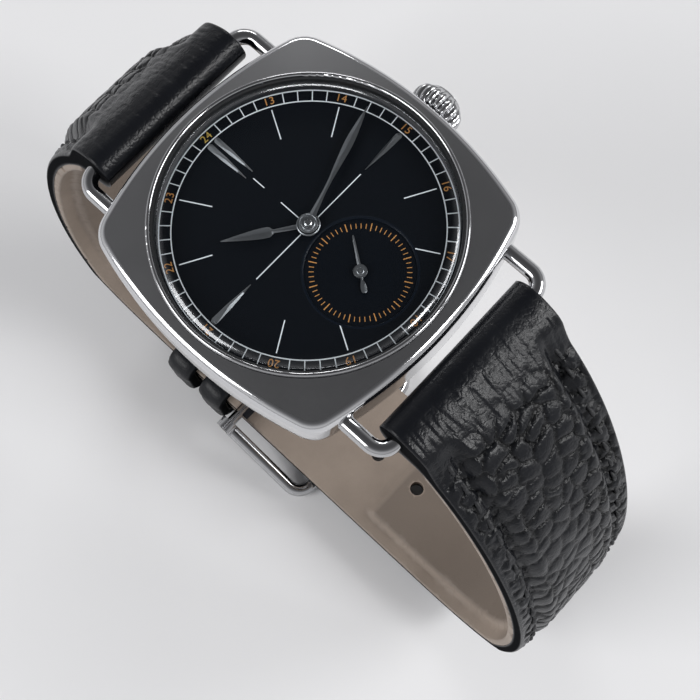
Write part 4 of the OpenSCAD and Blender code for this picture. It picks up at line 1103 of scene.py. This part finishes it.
def numeral(text, size):
    """A plain number as a thin mesh, centred on the origin."""
    select_nothing()
    bpy.ops.object.text_add()
    word = bpy.context.object
    word.data.body = text
    word.data.align_x = "CENTER"
    word.data.align_y = "CENTER"
    word.data.size = size * MM
    word.data.extrude = PRINT_T / 2 * MM
    word.data.space_character = 1.08
    only(word)
    bpy.ops.object.convert(target="MESH")
    return bpy.context.object


def softened(name, node, width):
    """A copy of a CAD node with its sharp edges rounded over."""
    source = frame["nodes"][node]
    piece = name_piece(twin_of(source), name)
    piece.parent = None
    piece.matrix_world = source.matrix_world.copy()
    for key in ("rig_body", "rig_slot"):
        if key in piece:
            del piece[key]
    settle(piece)
    bpy.ops.object.mode_set(mode="EDIT")
    bpy.ops.mesh.select_all(action="SELECT")
    bpy.ops.mesh.remove_doubles(threshold=0.000002)
    bpy.ops.mesh.customdata_custom_splitnormals_clear()
    bpy.ops.mesh.dissolve_limited(angle_limit=math.radians(1.0))
    bpy.ops.mesh.normals_make_consistent(inside=False)
    bpy.ops.object.mode_set(mode="OBJECT")
    finish_modifier(piece, "BEVEL", width=width * MM, segments=2, limit_method="ANGLE",
                    angle_limit=math.radians(35), harden_normals=False)
    return smooth(piece, 40)


# What a user would change

def colour_setting(name, description, default):
    """A colour setting."""
    return FloatVectorProperty(name=name, description=description, default=default,
                               subtype="COLOR", size=3, min=0, max=1)


def share_setting(name, description, default):
    """A setting between 0 and 1."""
    return FloatProperty(name=name, description=description, default=default,
                         subtype="FACTOR", min=0, max=1)


def length_setting(name, description, default, low, high):
    """A length setting in metres."""
    return FloatProperty(name=name, description=description, default=default,
                         unit="LENGTH", min=low, max=high)


class CaseLook(bpy.types.PropertyGroup):
    """Settings of the case, the crown and the buckle"""
    steel: colour_setting("Steel", "Colour of the case and the buckle", (0.36, 0.362, 0.37))
    satin: share_setting("Satin", "Roughness of the case's top", 0.27)
    polish: share_setting("Polish", "Roughness of the polished sides", 0.09)
    flutes: IntProperty(
        name="Flutes", description="Number of flutes round the crown", default=18, min=12, max=24)


class DialLook(bpy.types.PropertyGroup):
    """Settings of the dial"""
    lacquer: colour_setting("Lacquer", "Colour of the dial", (0.0022, 0.0034, 0.0058))
    ink: colour_setting("Ink", "Colour of the printed track and lines", (0.82, 0.84, 0.87))
    gold: colour_setting("Gold ink", "Colour of numbers and the small track", (0.6, 0.28, 0.09))
    numeral: length_setting("Number height", "Height of the numbers", 0.00086, 0.0005, 0.002)


class StrapLook(bpy.types.PropertyGroup):
    """Settings of the straps and keepers"""
    leather: colour_setting("Leather", "Colour of the upper leather", (0.0032, 0.0038, 0.0055))
    lining: colour_setting("Lining", "Colour of the lining", (0.36, 0.295, 0.245))
    thread: colour_setting("Thread", "Colour of the stitching", (0.016, 0.017, 0.02))
    pebble: length_setting("Pebble", "Size of the leather's pebbles", 0.0021, 0.0008, 0.004)
    crease_depth: length_setting("Crease depth", "Depth between the pebbles", 0.00024, 0, 0.0005)
    stitch: length_setting("Stitch", "Distance from one stitch to the next", 0.0027, 0.0015, 0.005)


class StageLook(bpy.types.PropertyGroup):
    """Settings of the floor and the light"""
    floor: colour_setting("Floor", "Colour of the floor", (0.88, 0.88, 0.89))
    level: FloatProperty(
        name="Light", description="Strength of the lamps", default=1.0, min=0, max=3)


# Operators, one for each piece or group of like pieces

class WATCH_OT_stage(bpy.types.Operator):
    """Sets the camera, the floor and the soft studio light"""
    bl_idname = "watch.stage"
    bl_label = "Stage"

    def execute(self, context):
        look = context.scene.watch_stage
        scene = context.scene
        scene.view_settings.view_transform = "Standard"
        self.camera(scene)
        self.floor(look)
        self.world(scene)
        self.lamps(look)
        return {"FINISHED"}

    def camera(self, scene):
        """The photograph's camera."""
        data = bpy.data.cameras.new("camera")
        data.lens = LENS
        data.sensor_width = 36
        data.clip_start = 0.005
        camera = bpy.data.objects.new("camera", data)
        scene.collection.objects.link(camera)
        back = Vector(CAMERA_BACK).normalized()
        up = back.cross(Vector(CAMERA_RIGHT).normalized()).normalized()
        turn = Matrix((up.cross(back), up, back)).transposed().to_4x4()
        camera.matrix_world = Matrix.Translation(CAMERA_AT) @ turn
        scene.camera = camera

    def floor(self, look):
        """Pale paper under the watch, 6 m across."""
        select_nothing()
        bpy.ops.mesh.primitive_plane_add(size=6, location=(0, 0, REST_Z * MM))
        floor = settle(name_piece(bpy.context.object, "floor"))
        n = material("floor_paper")
        soft = n.noise(n.here(), 40.0, 3.0)
        pale = n.blend(soft, colour(look.floor, 0.97), colour(look.floor))
        paper = n.principled(pale, soft * 0.1 + 0.8, Specular_IOR_Level=0.05)
        floor.data.materials.append(n.end(paper))

    def world(self, scene):
        """A grey sky, lighter low down and on one side, for the metal to reflect."""
        scene.world = bpy.data.worlds.new("studio")
        n = Nodes(scene.world)
        look_up = n.add("ShaderNodeTexCoord", out="Generated")
        height = n.add("ShaderNodeSeparateXYZ", sockets={0: look_up}, out="Z")
        east = n.add("ShaderNodeSeparateXYZ", sockets={0: look_up}, out="X")
        # Height, red and green, and blue
        greys = ((0.0, 0.45, 0.46), (0.15, 0.52, 0.53), (0.3, 0.62, 0.63), (0.5, 0.55, 0.56),
                 (0.68, 0.3, 0.31), (0.85, 0.15, 0.155), (1.0, 0.115, 0.12))
        stops = [(place, (grey, grey, blue, 1)) for place, grey, blue in greys]
        ramp = n.add("ShaderNodeValToRGB", {"stops": stops}, {0: height})
        side = n.within(east * -1.0, -0.9, 0.9) * 0.5 + 0.6
        sky = n.add("ShaderNodeBackground", sockets={"Color": ramp, "Strength": side})
        n.end(sky, "ShaderNodeOutputWorld")

    def lamps(self, look):
        """Soft lamps aimed at the watch: name, place and size in metres, and power in watts."""
        rows = (
            ("key", (-0.62, 0.3, 0.5), (0.5, 0.4), 3.4),
            ("front", (0.62, -0.6, 0.42), (0.5, 0.4), 3.8),
            ("rim", (0.19, -0.56, 0.52), (0.16, 0.16), 1.6),
            ("back", (0.5, 0.5, 0.36), (0.3, 0.12), 0.8),
        )
        for name, place, size, power in rows:
            data = bpy.data.lights.new(name, "AREA")
            data.shape = "RECTANGLE"
            data.size, data.size_y = size
            data.energy = power * look.level
            lamp = bpy.data.objects.new(name, data)
            bpy.context.scene.collection.objects.link(lamp)
            lamp.location = place
            lamp.rotation_euler = (-Vector(place)).to_track_quat("-Z", "Y").to_euler()


class WATCH_OT_case(bpy.types.Operator):
    """Makes the cushion case with its satin top, and finishes its lugs, back and seals"""
    bl_idname = "watch.case"
    bl_label = "Case"

    def execute(self, context):
        look = context.scene.watch_case
        rings, satin = case_rings()
        case = ring_sleeve("case_body", rings)
        mark(case, "satin", np.tile(satin, rings.shape[1]))
        smooth(case, 32)
        give(case, "watch", case_metal(look), "case_steel", "case_middle")
        bright = plain_metal("bright_steel", colour(look.steel, POLISHED), 0.07, 0.03)
        dress(bright, "bezel_ring", "wire_lug_12", "wire_lug_6", "crown_tube")
        dress(round_brushed("back_steel", look.steel, 0.2), "case_back")
        dress(rubber("black_rubber", (0.012, 0.012, 0.013)), "back_seal", "crown_seal")
        dress(enamel("flange_black", (0.006, 0.007, 0.01), 0.4), "inner_flange")
        dress(rubber("dark_gasket", (0.02, 0.021, 0.023)), "crystal_seal")
        return {"FINISHED"}


class WATCH_OT_crystal(bpy.types.Operator):
    """Makes the domed crystal"""
    bl_idname = "watch.crystal"
    bl_label = "Crystal"

    def execute(self, context):
        rim = CRYSTAL_R - 0.6
        outer_r = (CRYSTAL_R ** 2 + DOME_RISE ** 2) / (2 * DOME_RISE)
        inner_r = (rim ** 2 + DOME_RISE ** 2) / (2 * DOME_RISE)
        top = GLASS_SEAT + CRYSTAL_EDGE + DOME_RISE
        inner_top = GLASS_SEAT + DOME_RISE
        shoulder = 1.15
        shoulder_r = CRYSTAL_R - shoulder
        bend = CRYSTAL_R - shoulder * (1 - np.sin(np.linspace(0, QUARTER, 15)[1:]))
        over = []
        for r in np.concatenate([np.linspace(0.5, shoulder_r, 26), bend]):
            past = max(r - CRYSTAL_R + shoulder, 0) / shoulder
            round_off = 0.6 * (1 - math.sqrt(max(1 - past ** 2, 0)))
            over.append((r, top - outer_r + math.sqrt(outer_r ** 2 - r ** 2) - round_off))
        side = [(CRYSTAL_R, GLASS_SEAT + 0.06), (CRYSTAL_R - 0.06, GLASS_SEAT), (rim, GLASS_SEAT)]
        under = [(r, inner_top - inner_r + math.sqrt(inner_r ** 2 - r ** 2))
                 for r in np.linspace(rim - 0.4, 0.5, 30)]
        glass = turned("crystal_dome", over + side + under, steps=192)
        x, y, z = point_places(glass).T / MM
        reach = np.hypot(x, y)
        above = z > DIAL_Z + GLASS_SEAT + 0.2
        mark(glass, "rim", ease(reach, shoulder_r - 0.1, shoulder_r + 0.35) * above)
        hollow = inner_top - inner_r + np.sqrt(np.clip(inner_r ** 2 - reach ** 2, 0, None))
        inside = (z < DIAL_Z + hollow + 0.1) & (reach < rim + 0.02)
        mark(glass, "underside", inside | ~above | (reach > CRYSTAL_R - 0.1))
        smooth(glass, 40)
        give(glass, "watch", clear_glass("watch_glass"), "crystal", "crystal")
        return {"FINISHED"}


class WATCH_OT_dial(bpy.types.Operator):
    """Finishes the dial and prints its tracks, lines and numbers"""
    bl_idname = "watch.dial"
    bl_label = "Dial"

    def execute(self, context):
        look = context.scene.watch_dial
        dress(enamel("dial_lacquer", look.lacquer, 0.42), "dial")
        dress(grooved_enamel("small_dial_lacquer", look.lacquer, 0.38), "seconds_dial")
        white = enamel("white_ink", look.ink, 0.5, 0.1)
        gold = enamel("gold_ink", look.gold, 0.5, 0.1)
        pale_gold = enamel("pale_gold_ink", (0.62, 0.42, 0.1), 0.5, 0.1)
        give(self.track(), "watch", white, "hand_steel")
        self.numerals(look, gold, pale_gold)
        give(self.seconds_track(), "watch", gold, "hand_steel")
        rim = enamel("small_rim_lacquer", [c * 2.2 for c in look.lacquer], 0.3)
        give(self.seconds_rim(), "watch", rim, "dial_black")
        return {"FINISHED"}

    def lines(self, angles, inner, outer, width, height=0.0, centre=(0.0, 0.0)):
        """Printed lines at clock angles, from one radius to another."""
        places = spoke_places(angles, inner, height, centre)
        return copies(bar(outer - inner, width, PRINT_T), places, "lines")

    def track(self):
        """The two circles, the minute ticks, the hour lines and the cross."""
        circles = [printed_ring("track_outer", 15.06, 0.13),
                   printed_ring("track_inner", 13.83, 0.12)]
        # Clock angles, inner radius, outer radius and width
        rows = (
            (MINUTE_ANGLES, 13.84, 15.06, 0.11), ([30, 60, 120, 240, 300, 330], 10.0, 13.44, 0.12),
            ([150], 10.88, 13.44, 0.12), ([210], 10.71, 13.44, 0.12), ([90], 0.9, 7.66, 0.11),
            ([270], 0.9, 7.52, 0.11), ([0], 6.19, 7.74, 0.11), ([0], 0.9, 3.86, 0.11),
        )
        return join("dial_printing", *circles, *(self.lines(*row) for row in rows))

    def numerals(self, look, gold, pale_gold):
        """The numbers 13 to 24, each with its foot to the dial's middle."""
        made = []
        for place, number in zip(spoke_places(range(0, 360, 30), NUMBER_R, PRINT_T / 2), NUMBERS):
            word = numeral(str(number), look.numeral / MM * FONT_PER_HEIGHT)
            made.append(copies(word, [place], "number_%d" % number))
        give(made[0], "watch", pale_gold, "hand_steel")
        give(join("dial_numbers", *made[1:]), "watch", gold, "hand_steel")

    def seconds_track(self):
        """The small dial's ticks, with a longer one at every fifth second."""
        short = self.lines(MINUTE_ANGLES, 4.62, 5.14, 0.075, SECONDS_FLOOR, SECONDS_AT)
        long = self.lines(range(0, 360, 30), 4.45, 5.29, 0.1, SECONDS_FLOOR, SECONDS_AT)
        return join("seconds_printing", short, long)

    def seconds_rim(self):
        """The rounded edge of the small dial's opening."""
        profile = [(5.62, SECONDS_FLOOR), (5.66, -0.05), (5.74, 0.02), (5.86, 0.025),
                   (5.92, 0.005), (5.85, -0.1), (5.78, SECONDS_FLOOR)]
        return smooth(turned("seconds_rim", profile, SECONDS_AT, 180, closed=True))


class WATCH_OT_hands(bpy.types.Operator):
    """Makes the ridged hands and the applied markers"""
    bl_idname = "watch.hands"
    bl_label = "Hands and markers"

    def execute(self, context):
        tint = (0.33, 0.335, 0.35)
        # Stations of each hand: distance from its arbor and half width
        hour = [(0.2, 0.3), (1.2, 0.25), (3.5, 0.19), (3.68, 0.3), (3.82, 0.46), (4.05, 0.55),
                (4.6, 0.57), (5.4, 0.52), (6.4, 0.4), (7.4, 0.26), (8.3, 0.12), (8.88, 0.03)]
        minute = [(0.2, 0.36), (1.0, 0.34), (2.2, 0.27), (3.8, 0.19), (5.2, 0.21), (7.0, 0.33),
                  (8.6, 0.43), (9.6, 0.46), (10.6, 0.42), (11.8, 0.31), (12.8, 0.2),
                  (13.4, 0.08), (14.05, 0.03)]
        # Name, stations, heights of the leaf, radii and heights of the hub, and clock angle
        rows = (
            ("hour", hour, (0.5, 0.56, 0.66), (1.22, 0.72, 0.44, 0.7), HOUR_ANGLE),
            ("minute", minute, (0.82, 0.88, 0.98), (1.02, 0.42, 0.74, 1.02), MINUTE_ANGLE),
        )
        for name, stations, heights, collar, angle in rows:
            turn = math.radians(angle)
            hand = leaf(name + "_leaf", stations, *heights, -turn)
            hub = self.hub(name + "_hub", *collar)
            steel = brushed_hand(name + "_hand_steel", tint, 0.24, turn)
            hand = join(name + "_hand_leaf", hand, hub)
            give(hand, name + "_works", steel, "hand_steel", name + "_hand")
        hub_metal = plain_metal("hub_steel", (0.55, 0.55, 0.56), 0.12)
        dome = [(0.1, 1.2), (0.3, 1.19), (0.4, 1.12), (0.41, 0.9), (0.1, 0.9)]
        cap = smooth(turned("cannon_cap", dome, steps=48))
        give(cap, "minute_works", hub_metal, "hand_steel")
        turn = math.radians(SECOND_ANGLE)
        needle = [(0.2, 0.18), (0.8, 0.17), (2.2, 0.14), (3.6, 0.11), (3.88, 0.05)]
        tail = [(0.2, 0.14), (0.9, 0.13), (1.3, 0.24), (1.7, 0.31), (2.1, 0.29), (2.28, 0.16)]
        pieces = [
            leaf("needle", needle, 0.06, 0.12, 0.17, -turn, SECONDS_AT),
            leaf("tail", tail, 0.06, 0.12, 0.17, math.pi - turn, SECONDS_AT),
            self.hub("small_hub", 0.72, 0.03, 0.02, 0.3, SECONDS_AT),
        ]
        steel = brushed_hand("seconds_hand_steel", tint, 0.26, turn)
        give(join("seconds_hand_leaf", *pieces), "seconds_works", steel, "hand_steel",
             "seconds_hand")
        self.markers(tint)
        return {"FINISHED"}

    def hub(self, name, r, bore, low, high, centre=(0.0, 0.0)):
        """A collar with a rounded rim and a groove, turned about its arbor."""
        step = (r - bore) / 4
        profile = [
            (bore, high - 0.03), (bore + step * 0.6, high), (bore + step * 1.6, high),
            (bore + step * 2, high - 0.05), (bore + step * 2.5, high - 0.05),
            (bore + step * 3, high - 0.01), (r - 0.06, high - 0.03), (r, high - 0.1), (r, low),
            (bore, low),
        ]
        return smooth(turned(name, profile, centre, 64, closed=True), 35)

    def marker(self, w, angle=0.0, side=0.0):
        """A drop-shaped marker that points to the dial's middle."""
        stations = [(MARKER_OUTER - w * (1 - math.cos(a)), w * math.sin(a))
                    for a in np.linspace(0.35, QUARTER, 6)]
        stations += [(MARKER_OUTER - MARKER_LENGTH * 0.45, w * 0.84),
                     (MARKER_OUTER - MARKER_LENGTH * 0.8, w * 0.36),
                     (MARKER_OUTER - MARKER_LENGTH, 0.03)]
        return leaf("marker", stations[::-1], 0.0, 0.1, 0.2, angle, side=side)

    def markers(self, tint):
        """The pair at 12 and the single ones at 3 and 9."""
        twelve = join("marker_12", self.marker(0.32, side=-0.49), self.marker(0.32, side=0.49))
        steel = brushed_hand("marker_steel", tint, 0.34, 0.0)
        give(twelve, "watch", steel, "polished_steel")
        sides = join("markers_3_and_9", self.marker(0.35, -QUARTER), self.marker(0.35, QUARTER))
        steel = brushed_hand("side_marker_steel", tint, 0.3, QUARTER)
        give(sides, "watch", steel, "polished_steel", "hour_markers")


class WATCH_OT_movement(bpy.types.Operator):
    """Finishes the movement inside the case"""
    bl_idname = "watch.movement"
    bl_label = "Movement"

    def execute(self, context):
        nickel = (0.62, 0.6, 0.56)
        dress(pearled_plate("plate_pearled", nickel), "main_plate", "movement_ring")
        dress(striped_nickel("bridge_striped", nickel, 150.0),
              "barrel_bridge", "train_bridge", "balance_cock")
        dress(round_brushed("wheel_brass", (0.78, 0.56, 0.27), 0.22, 6000.0),
              "minute_wheel", "hour_wheel", "mainspring_barrel", "centre_wheel", "third_wheel",
              "fourth_wheel", "balance_wheel")
        dress(plain_metal("pinion_steel", (0.5, 0.5, 0.52), 0.15),
              "cannon_pinion", "escape_wheel", "pallet_fork", "winding_pinion", "winding_stem",
              "ratchet_click", "rotor_post", "mainspring")
        dress(round_brushed("wheel_steel", (0.56, 0.56, 0.58), 0.16, 5000.0),
              "ratchet_wheel", "crown_wheel")
        dress(plain_metal("blued_steel", (0.03, 0.07, 0.3), 0.16), "bridge_screws", "hairspring")
        dress(striped_nickel("rotor_steel", (0.52, 0.5, 0.48), 120.0), "rotor")
        return {"FINISHED"}


class WATCH_OT_crown(bpy.types.Operator):
    """Makes the deeply fluted crown"""
    bl_idname = "watch.crown"
    bl_label = "Crown"

    def execute(self, context):
        look = context.scene.watch_case
        steps = look.flutes * FLUTE_STEPS
        turns = np.arange(steps) * 2 * math.pi / steps
        lobe = np.abs(np.cos(turns * look.flutes / 2)) ** 0.75
        # Distance out from the crown's inner face, radius and share of the flutes' depth
        rows = (
            (0.0, 1.25, 0.0), (0.0, 2.45, 0.5), (0.06, 2.62, 0.8), (0.2, 2.8, 1.0),
            (0.45, 2.92, 1.0), (0.9, 3.0, 1.0), (1.3, 3.0, 1.0), (1.6, 2.94, 1.0),
            (1.86, 2.8, 1.0), (2.06, 2.62, 0.95), (2.24, 2.38, 0.7), (2.36, 2.16, 0.3),
            (2.42, 2.05, 0.0), (2.5, 2.0, 0.0), (2.6, 1.97, 0.0), (2.68, 1.85, 0.0),
            (2.74, 1.6, 0.0), (2.81, 1.1, 0.0), (2.86, 0.5, 0.0),
        )
        stem_z = DIAL_Z + STEM_Z
        rings = []
        for x, r, depth in rows:
            reach = r - FLUTE_DEPTH * depth * (1 - lobe)
            y, z = reach * np.cos(turns), stem_z + reach * np.sin(turns)
            rings.append(np.stack([np.full(steps, CROWN_X + x), y, z], 1))
        ends = (CROWN_X, 0, stem_z), (CROWN_X + 2.87, 0, stem_z)
        crown = smooth(ball_sleeve("crown_fluted", rings, *ends), 38)
        steel = plain_metal("crown_steel", colour(look.steel, POLISHED), 0.1, 0.04)
        give(crown, "crown", steel, "polished_steel", "crown")
        return {"FINISHED"}


class WATCH_OT_strap(bpy.types.Operator):
    """Makes the two padded leather straps and their linings"""
    bl_idname = "watch.strap"
    bl_label = "Straps"

    def execute(self, context):
        look = context.scene.watch_strap
        leather = grained_leather("grained_leather", look)
        pale = lining_leather("lining_leather", look)
        long_loop = Loop(LONG_CURVE, TAIL_TIP - LONG_CURVE[3][0], False)
        short_loop = Loop(SHORT_CURVE, -SHORT_CURVE[3][0] - BAR_Y + SHORT_REACH, True)
        tail = upper_leather("strap_6_upper", long_loop, TAIL_T, look, 11, tail=True)
        tail_lining = lining("strap_6_inner", long_loop, TAIL_T, tail=True)
        for piece in (tail, tail_lining):
            cut_away(piece, *self.hole_tools())
        short = upper_leather("strap_12_upper", short_loop, SHORT_T, look, 23)
        short_lining = lining("strap_12_inner", short_loop, SHORT_T)
        slot = hole_cutter(-LEAN, SLOT_Y, BAR_Z - 4, BAR_Z + 4, SLOT_R, SLOT_STRETCH)
        cut_away(short, slot)
        for piece, node in ((tail, "strap_6_leather"), (short, "strap_12_leather")):
            give(piece, "watch", leather, "leather_black", node)
        for piece, node in ((tail_lining, "strap_6_lining"), (short_lining, "strap_12_lining")):
            give(piece, "watch", pale, "leather_lining", node)
        thread = waxed_thread("waxed_thread", look)
        stitch = stitch_shape(STITCH_LENGTH, STITCH_T)
        other = twin_of(stitch)
        places = stitch_places(long_loop, TAIL_T, look, long_loop.length - 10, tail=True)
        give(copies(stitch, places, "stitching_6"), "watch", thread, "leather_black")
        places = stitch_places(short_loop, SHORT_T, look, short_loop.length - 5)
        give(copies(other, places, "stitching_12"), "watch", thread, "leather_black")
        return {"FINISHED"}

    def hole_tools(self):
        """Cutters for the tail's five open holes and the stretched one that holds the tang."""
        depth = (TAIL_LOW - 1, TAIL_TOP + 2)
        tools = [hole_cutter(-LEAN, TANG_HOLE_Y + HOLE_PITCH * i, *depth, HOLE_R)
                 for i in OPEN_HOLES]
        return tools + [hole_cutter(-LEAN, TANG_HOLE_Y, *depth, HOLE_R, TANG_HOLE_STRETCH)]


class WATCH_OT_keepers(bpy.types.Operator):
    """Makes the fixed and the free keeper"""
    bl_idname = "watch.keepers"
    bl_label = "Keepers"

    def execute(self, context):
        look = context.scene.watch_strap
        leather = grained_leather("keeper_leather", look, 0.4)
        rows = (
            ("keeper_fixed", "watch", "fixed_keeper", FIXED_GAP, SHORT_TOP, 31),
            ("keeper_free", "free_keeper", "free_keeper", FREE_GAP, SHORT_TOP + 0.2, 37),
        )
        for name, body, node, gap, high, seed in rows:
            loop = self.keeper(name, BAR_Y + gap + KEEPER_W / 2, high, look, seed)
            give(loop, body, leather, "leather_black", node)
        return {"FINISHED"}

    def keeper(self, name, y, high, look, seed):
        """A loop of leather with pillowed faces and soft corners."""
        count = 220
        low = TAIL_LOW - 0.2
        half_w, half_h = KEEPER_HALF + KEEPER_T / 2, (high - low) / 2 + KEEPER_T / 2
        middle_z = (high + low) / 2
        corner = KEEPER_CORNER
        straight_w, straight_h = 2 * (half_w - corner), 2 * (half_h - corner)
        arc = corner * QUARTER
        total = 2 * (straight_w + straight_h) + 4 * arc
        s = np.arange(count) * total / count
        sizes = (straight_w, straight_h, arc, corner, half_w, half_h)
        x, z, nx, nz = np.array([self.round_box(at, *sizes) for at in s]).T
        # Its cut section: along the strap and outwards from its middle layer
        section = [
            (-2.1, -0.55), (-2.1, 0.3), (-1.95, 0.62), (-1.6, 0.8), (-0.9, 0.88), (0, 0.9),
            (0.9, 0.88), (1.6, 0.8), (1.95, 0.62), (2.1, 0.3), (2.1, -0.55), (1.9, -0.85),
            (0, -0.88), (-1.9, -0.85),
        ]
        rings = []
        for across, out in section:
            rough = 0.0
            if out > 0.5:
                rough = grain(s + 10, np.full(count, across + 5.0), look, seed)[0] * 0.4
            reach = out + rough
            ring_x, ring_z = x + nx * reach - LEAN, middle_z + z + nz * reach
            rings.append(np.stack([ring_x, np.full(count, y + across), ring_z], 1))
        piece = ring_sleeve(name, rings)
        mark(piece, "crease", np.zeros(len(piece.data.vertices)))
        edge = np.array([1.0 if abs(a) > 2.0 else 0.0 for a, _ in section])
        mark(piece, "cut_edge", np.tile(edge, count))
        return smooth(piece, 50)

    def round_box(self, at, w, h, arc, r, half_w, half_h):
        """Place and outward direction at a length round a box with round corners."""
        for side in range(4):
            run = w if side % 2 == 0 else h
            out = half_h if side % 2 == 0 else half_w
            turn = -side * QUARTER
            if at <= run:
                return self.swing(at - run / 2, out, 0.0, 1.0, turn)
            at -= run
            if at <= arc:
                nx, nz = math.sin(at / r), math.cos(at / r)
                return self.swing(run / 2 + r * nx, out - r + r * nz, nx, nz, turn)
            at -= arc
        return self.swing(-w / 2, half_h, 0.0, 1.0, 0.0)

    def swing(self, x, z, nx, nz, turn):
        """A place and a direction, turned about the middle."""
        c, s = math.cos(turn), math.sin(turn)
        return c * x - s * z, s * x + c * z, c * nx - s * nz, s * nx + c * nz


class WATCH_OT_buckle(bpy.types.Operator):
    """Finishes the buckle's frame and bar and rounds its tang"""
    bl_idname = "watch.buckle"
    bl_label = "Buckle"

    def execute(self, context):
        look = context.scene.watch_case
        steel = plain_metal("buckle_steel", colour(look.steel, POLISHED), 0.09, 0.04)
        dress(steel, "buckle_frame", "buckle_bar")
        tang = softened("tang_rounded", "buckle_tang", 0.18)
        give(tang, "buckle_tang", steel, "polished_steel", "buckle_tang")
        return {"FINISHED"}


class WATCH_PT_panel(bpy.types.Panel):
    """Lists the watch's pieces in the sidebar"""
    bl_idname = "WATCH_PT_panel"
    bl_label = "Square wristwatch"
    bl_space_type = "VIEW_3D"
    bl_region_type = "UI"
    bl_category = "Watch"

    def draw(self, context):
        for operator in OPERATORS:
            self.layout.operator(operator.bl_idname)
        for key, kind in LOOKS.items():
            for name in kind.__annotations__:
                self.layout.prop(getattr(context.scene, key), name)


OPERATORS = (
    WATCH_OT_stage, WATCH_OT_case, WATCH_OT_crystal, WATCH_OT_dial, WATCH_OT_hands,
    WATCH_OT_movement, WATCH_OT_crown, WATCH_OT_strap, WATCH_OT_keepers, WATCH_OT_buckle,
)
LOOKS = {"watch_case": CaseLook, "watch_dial": DialLook, "watch_strap": StrapLook,
         "watch_stage": StageLook}
KINDS = tuple(LOOKS.values()) + OPERATORS + (WATCH_PT_panel,)


def register():
    """Registers the settings, the operators and the panel."""
    for kind in KINDS:
        bpy.utils.register_class(kind)
    for key, look in LOOKS.items():
        setattr(bpy.types.Scene, key, PointerProperty(type=look))


def unregister():
    """Takes away what register made."""
    for key in LOOKS:
        delattr(bpy.types.Scene, key)
    for kind in reversed(KINDS):
        bpy.utils.unregister_class(kind)


def main():
    """Makes every piece in order."""
    register()
    for make in (bpy.ops.watch.stage, bpy.ops.watch.case, bpy.ops.watch.crystal,
                 bpy.ops.watch.dial, bpy.ops.watch.hands, bpy.ops.watch.movement,
                 bpy.ops.watch.crown, bpy.ops.watch.strap, bpy.ops.watch.keepers,
                 bpy.ops.watch.buckle):
        make()


if __name__ == "__main__":
    main()
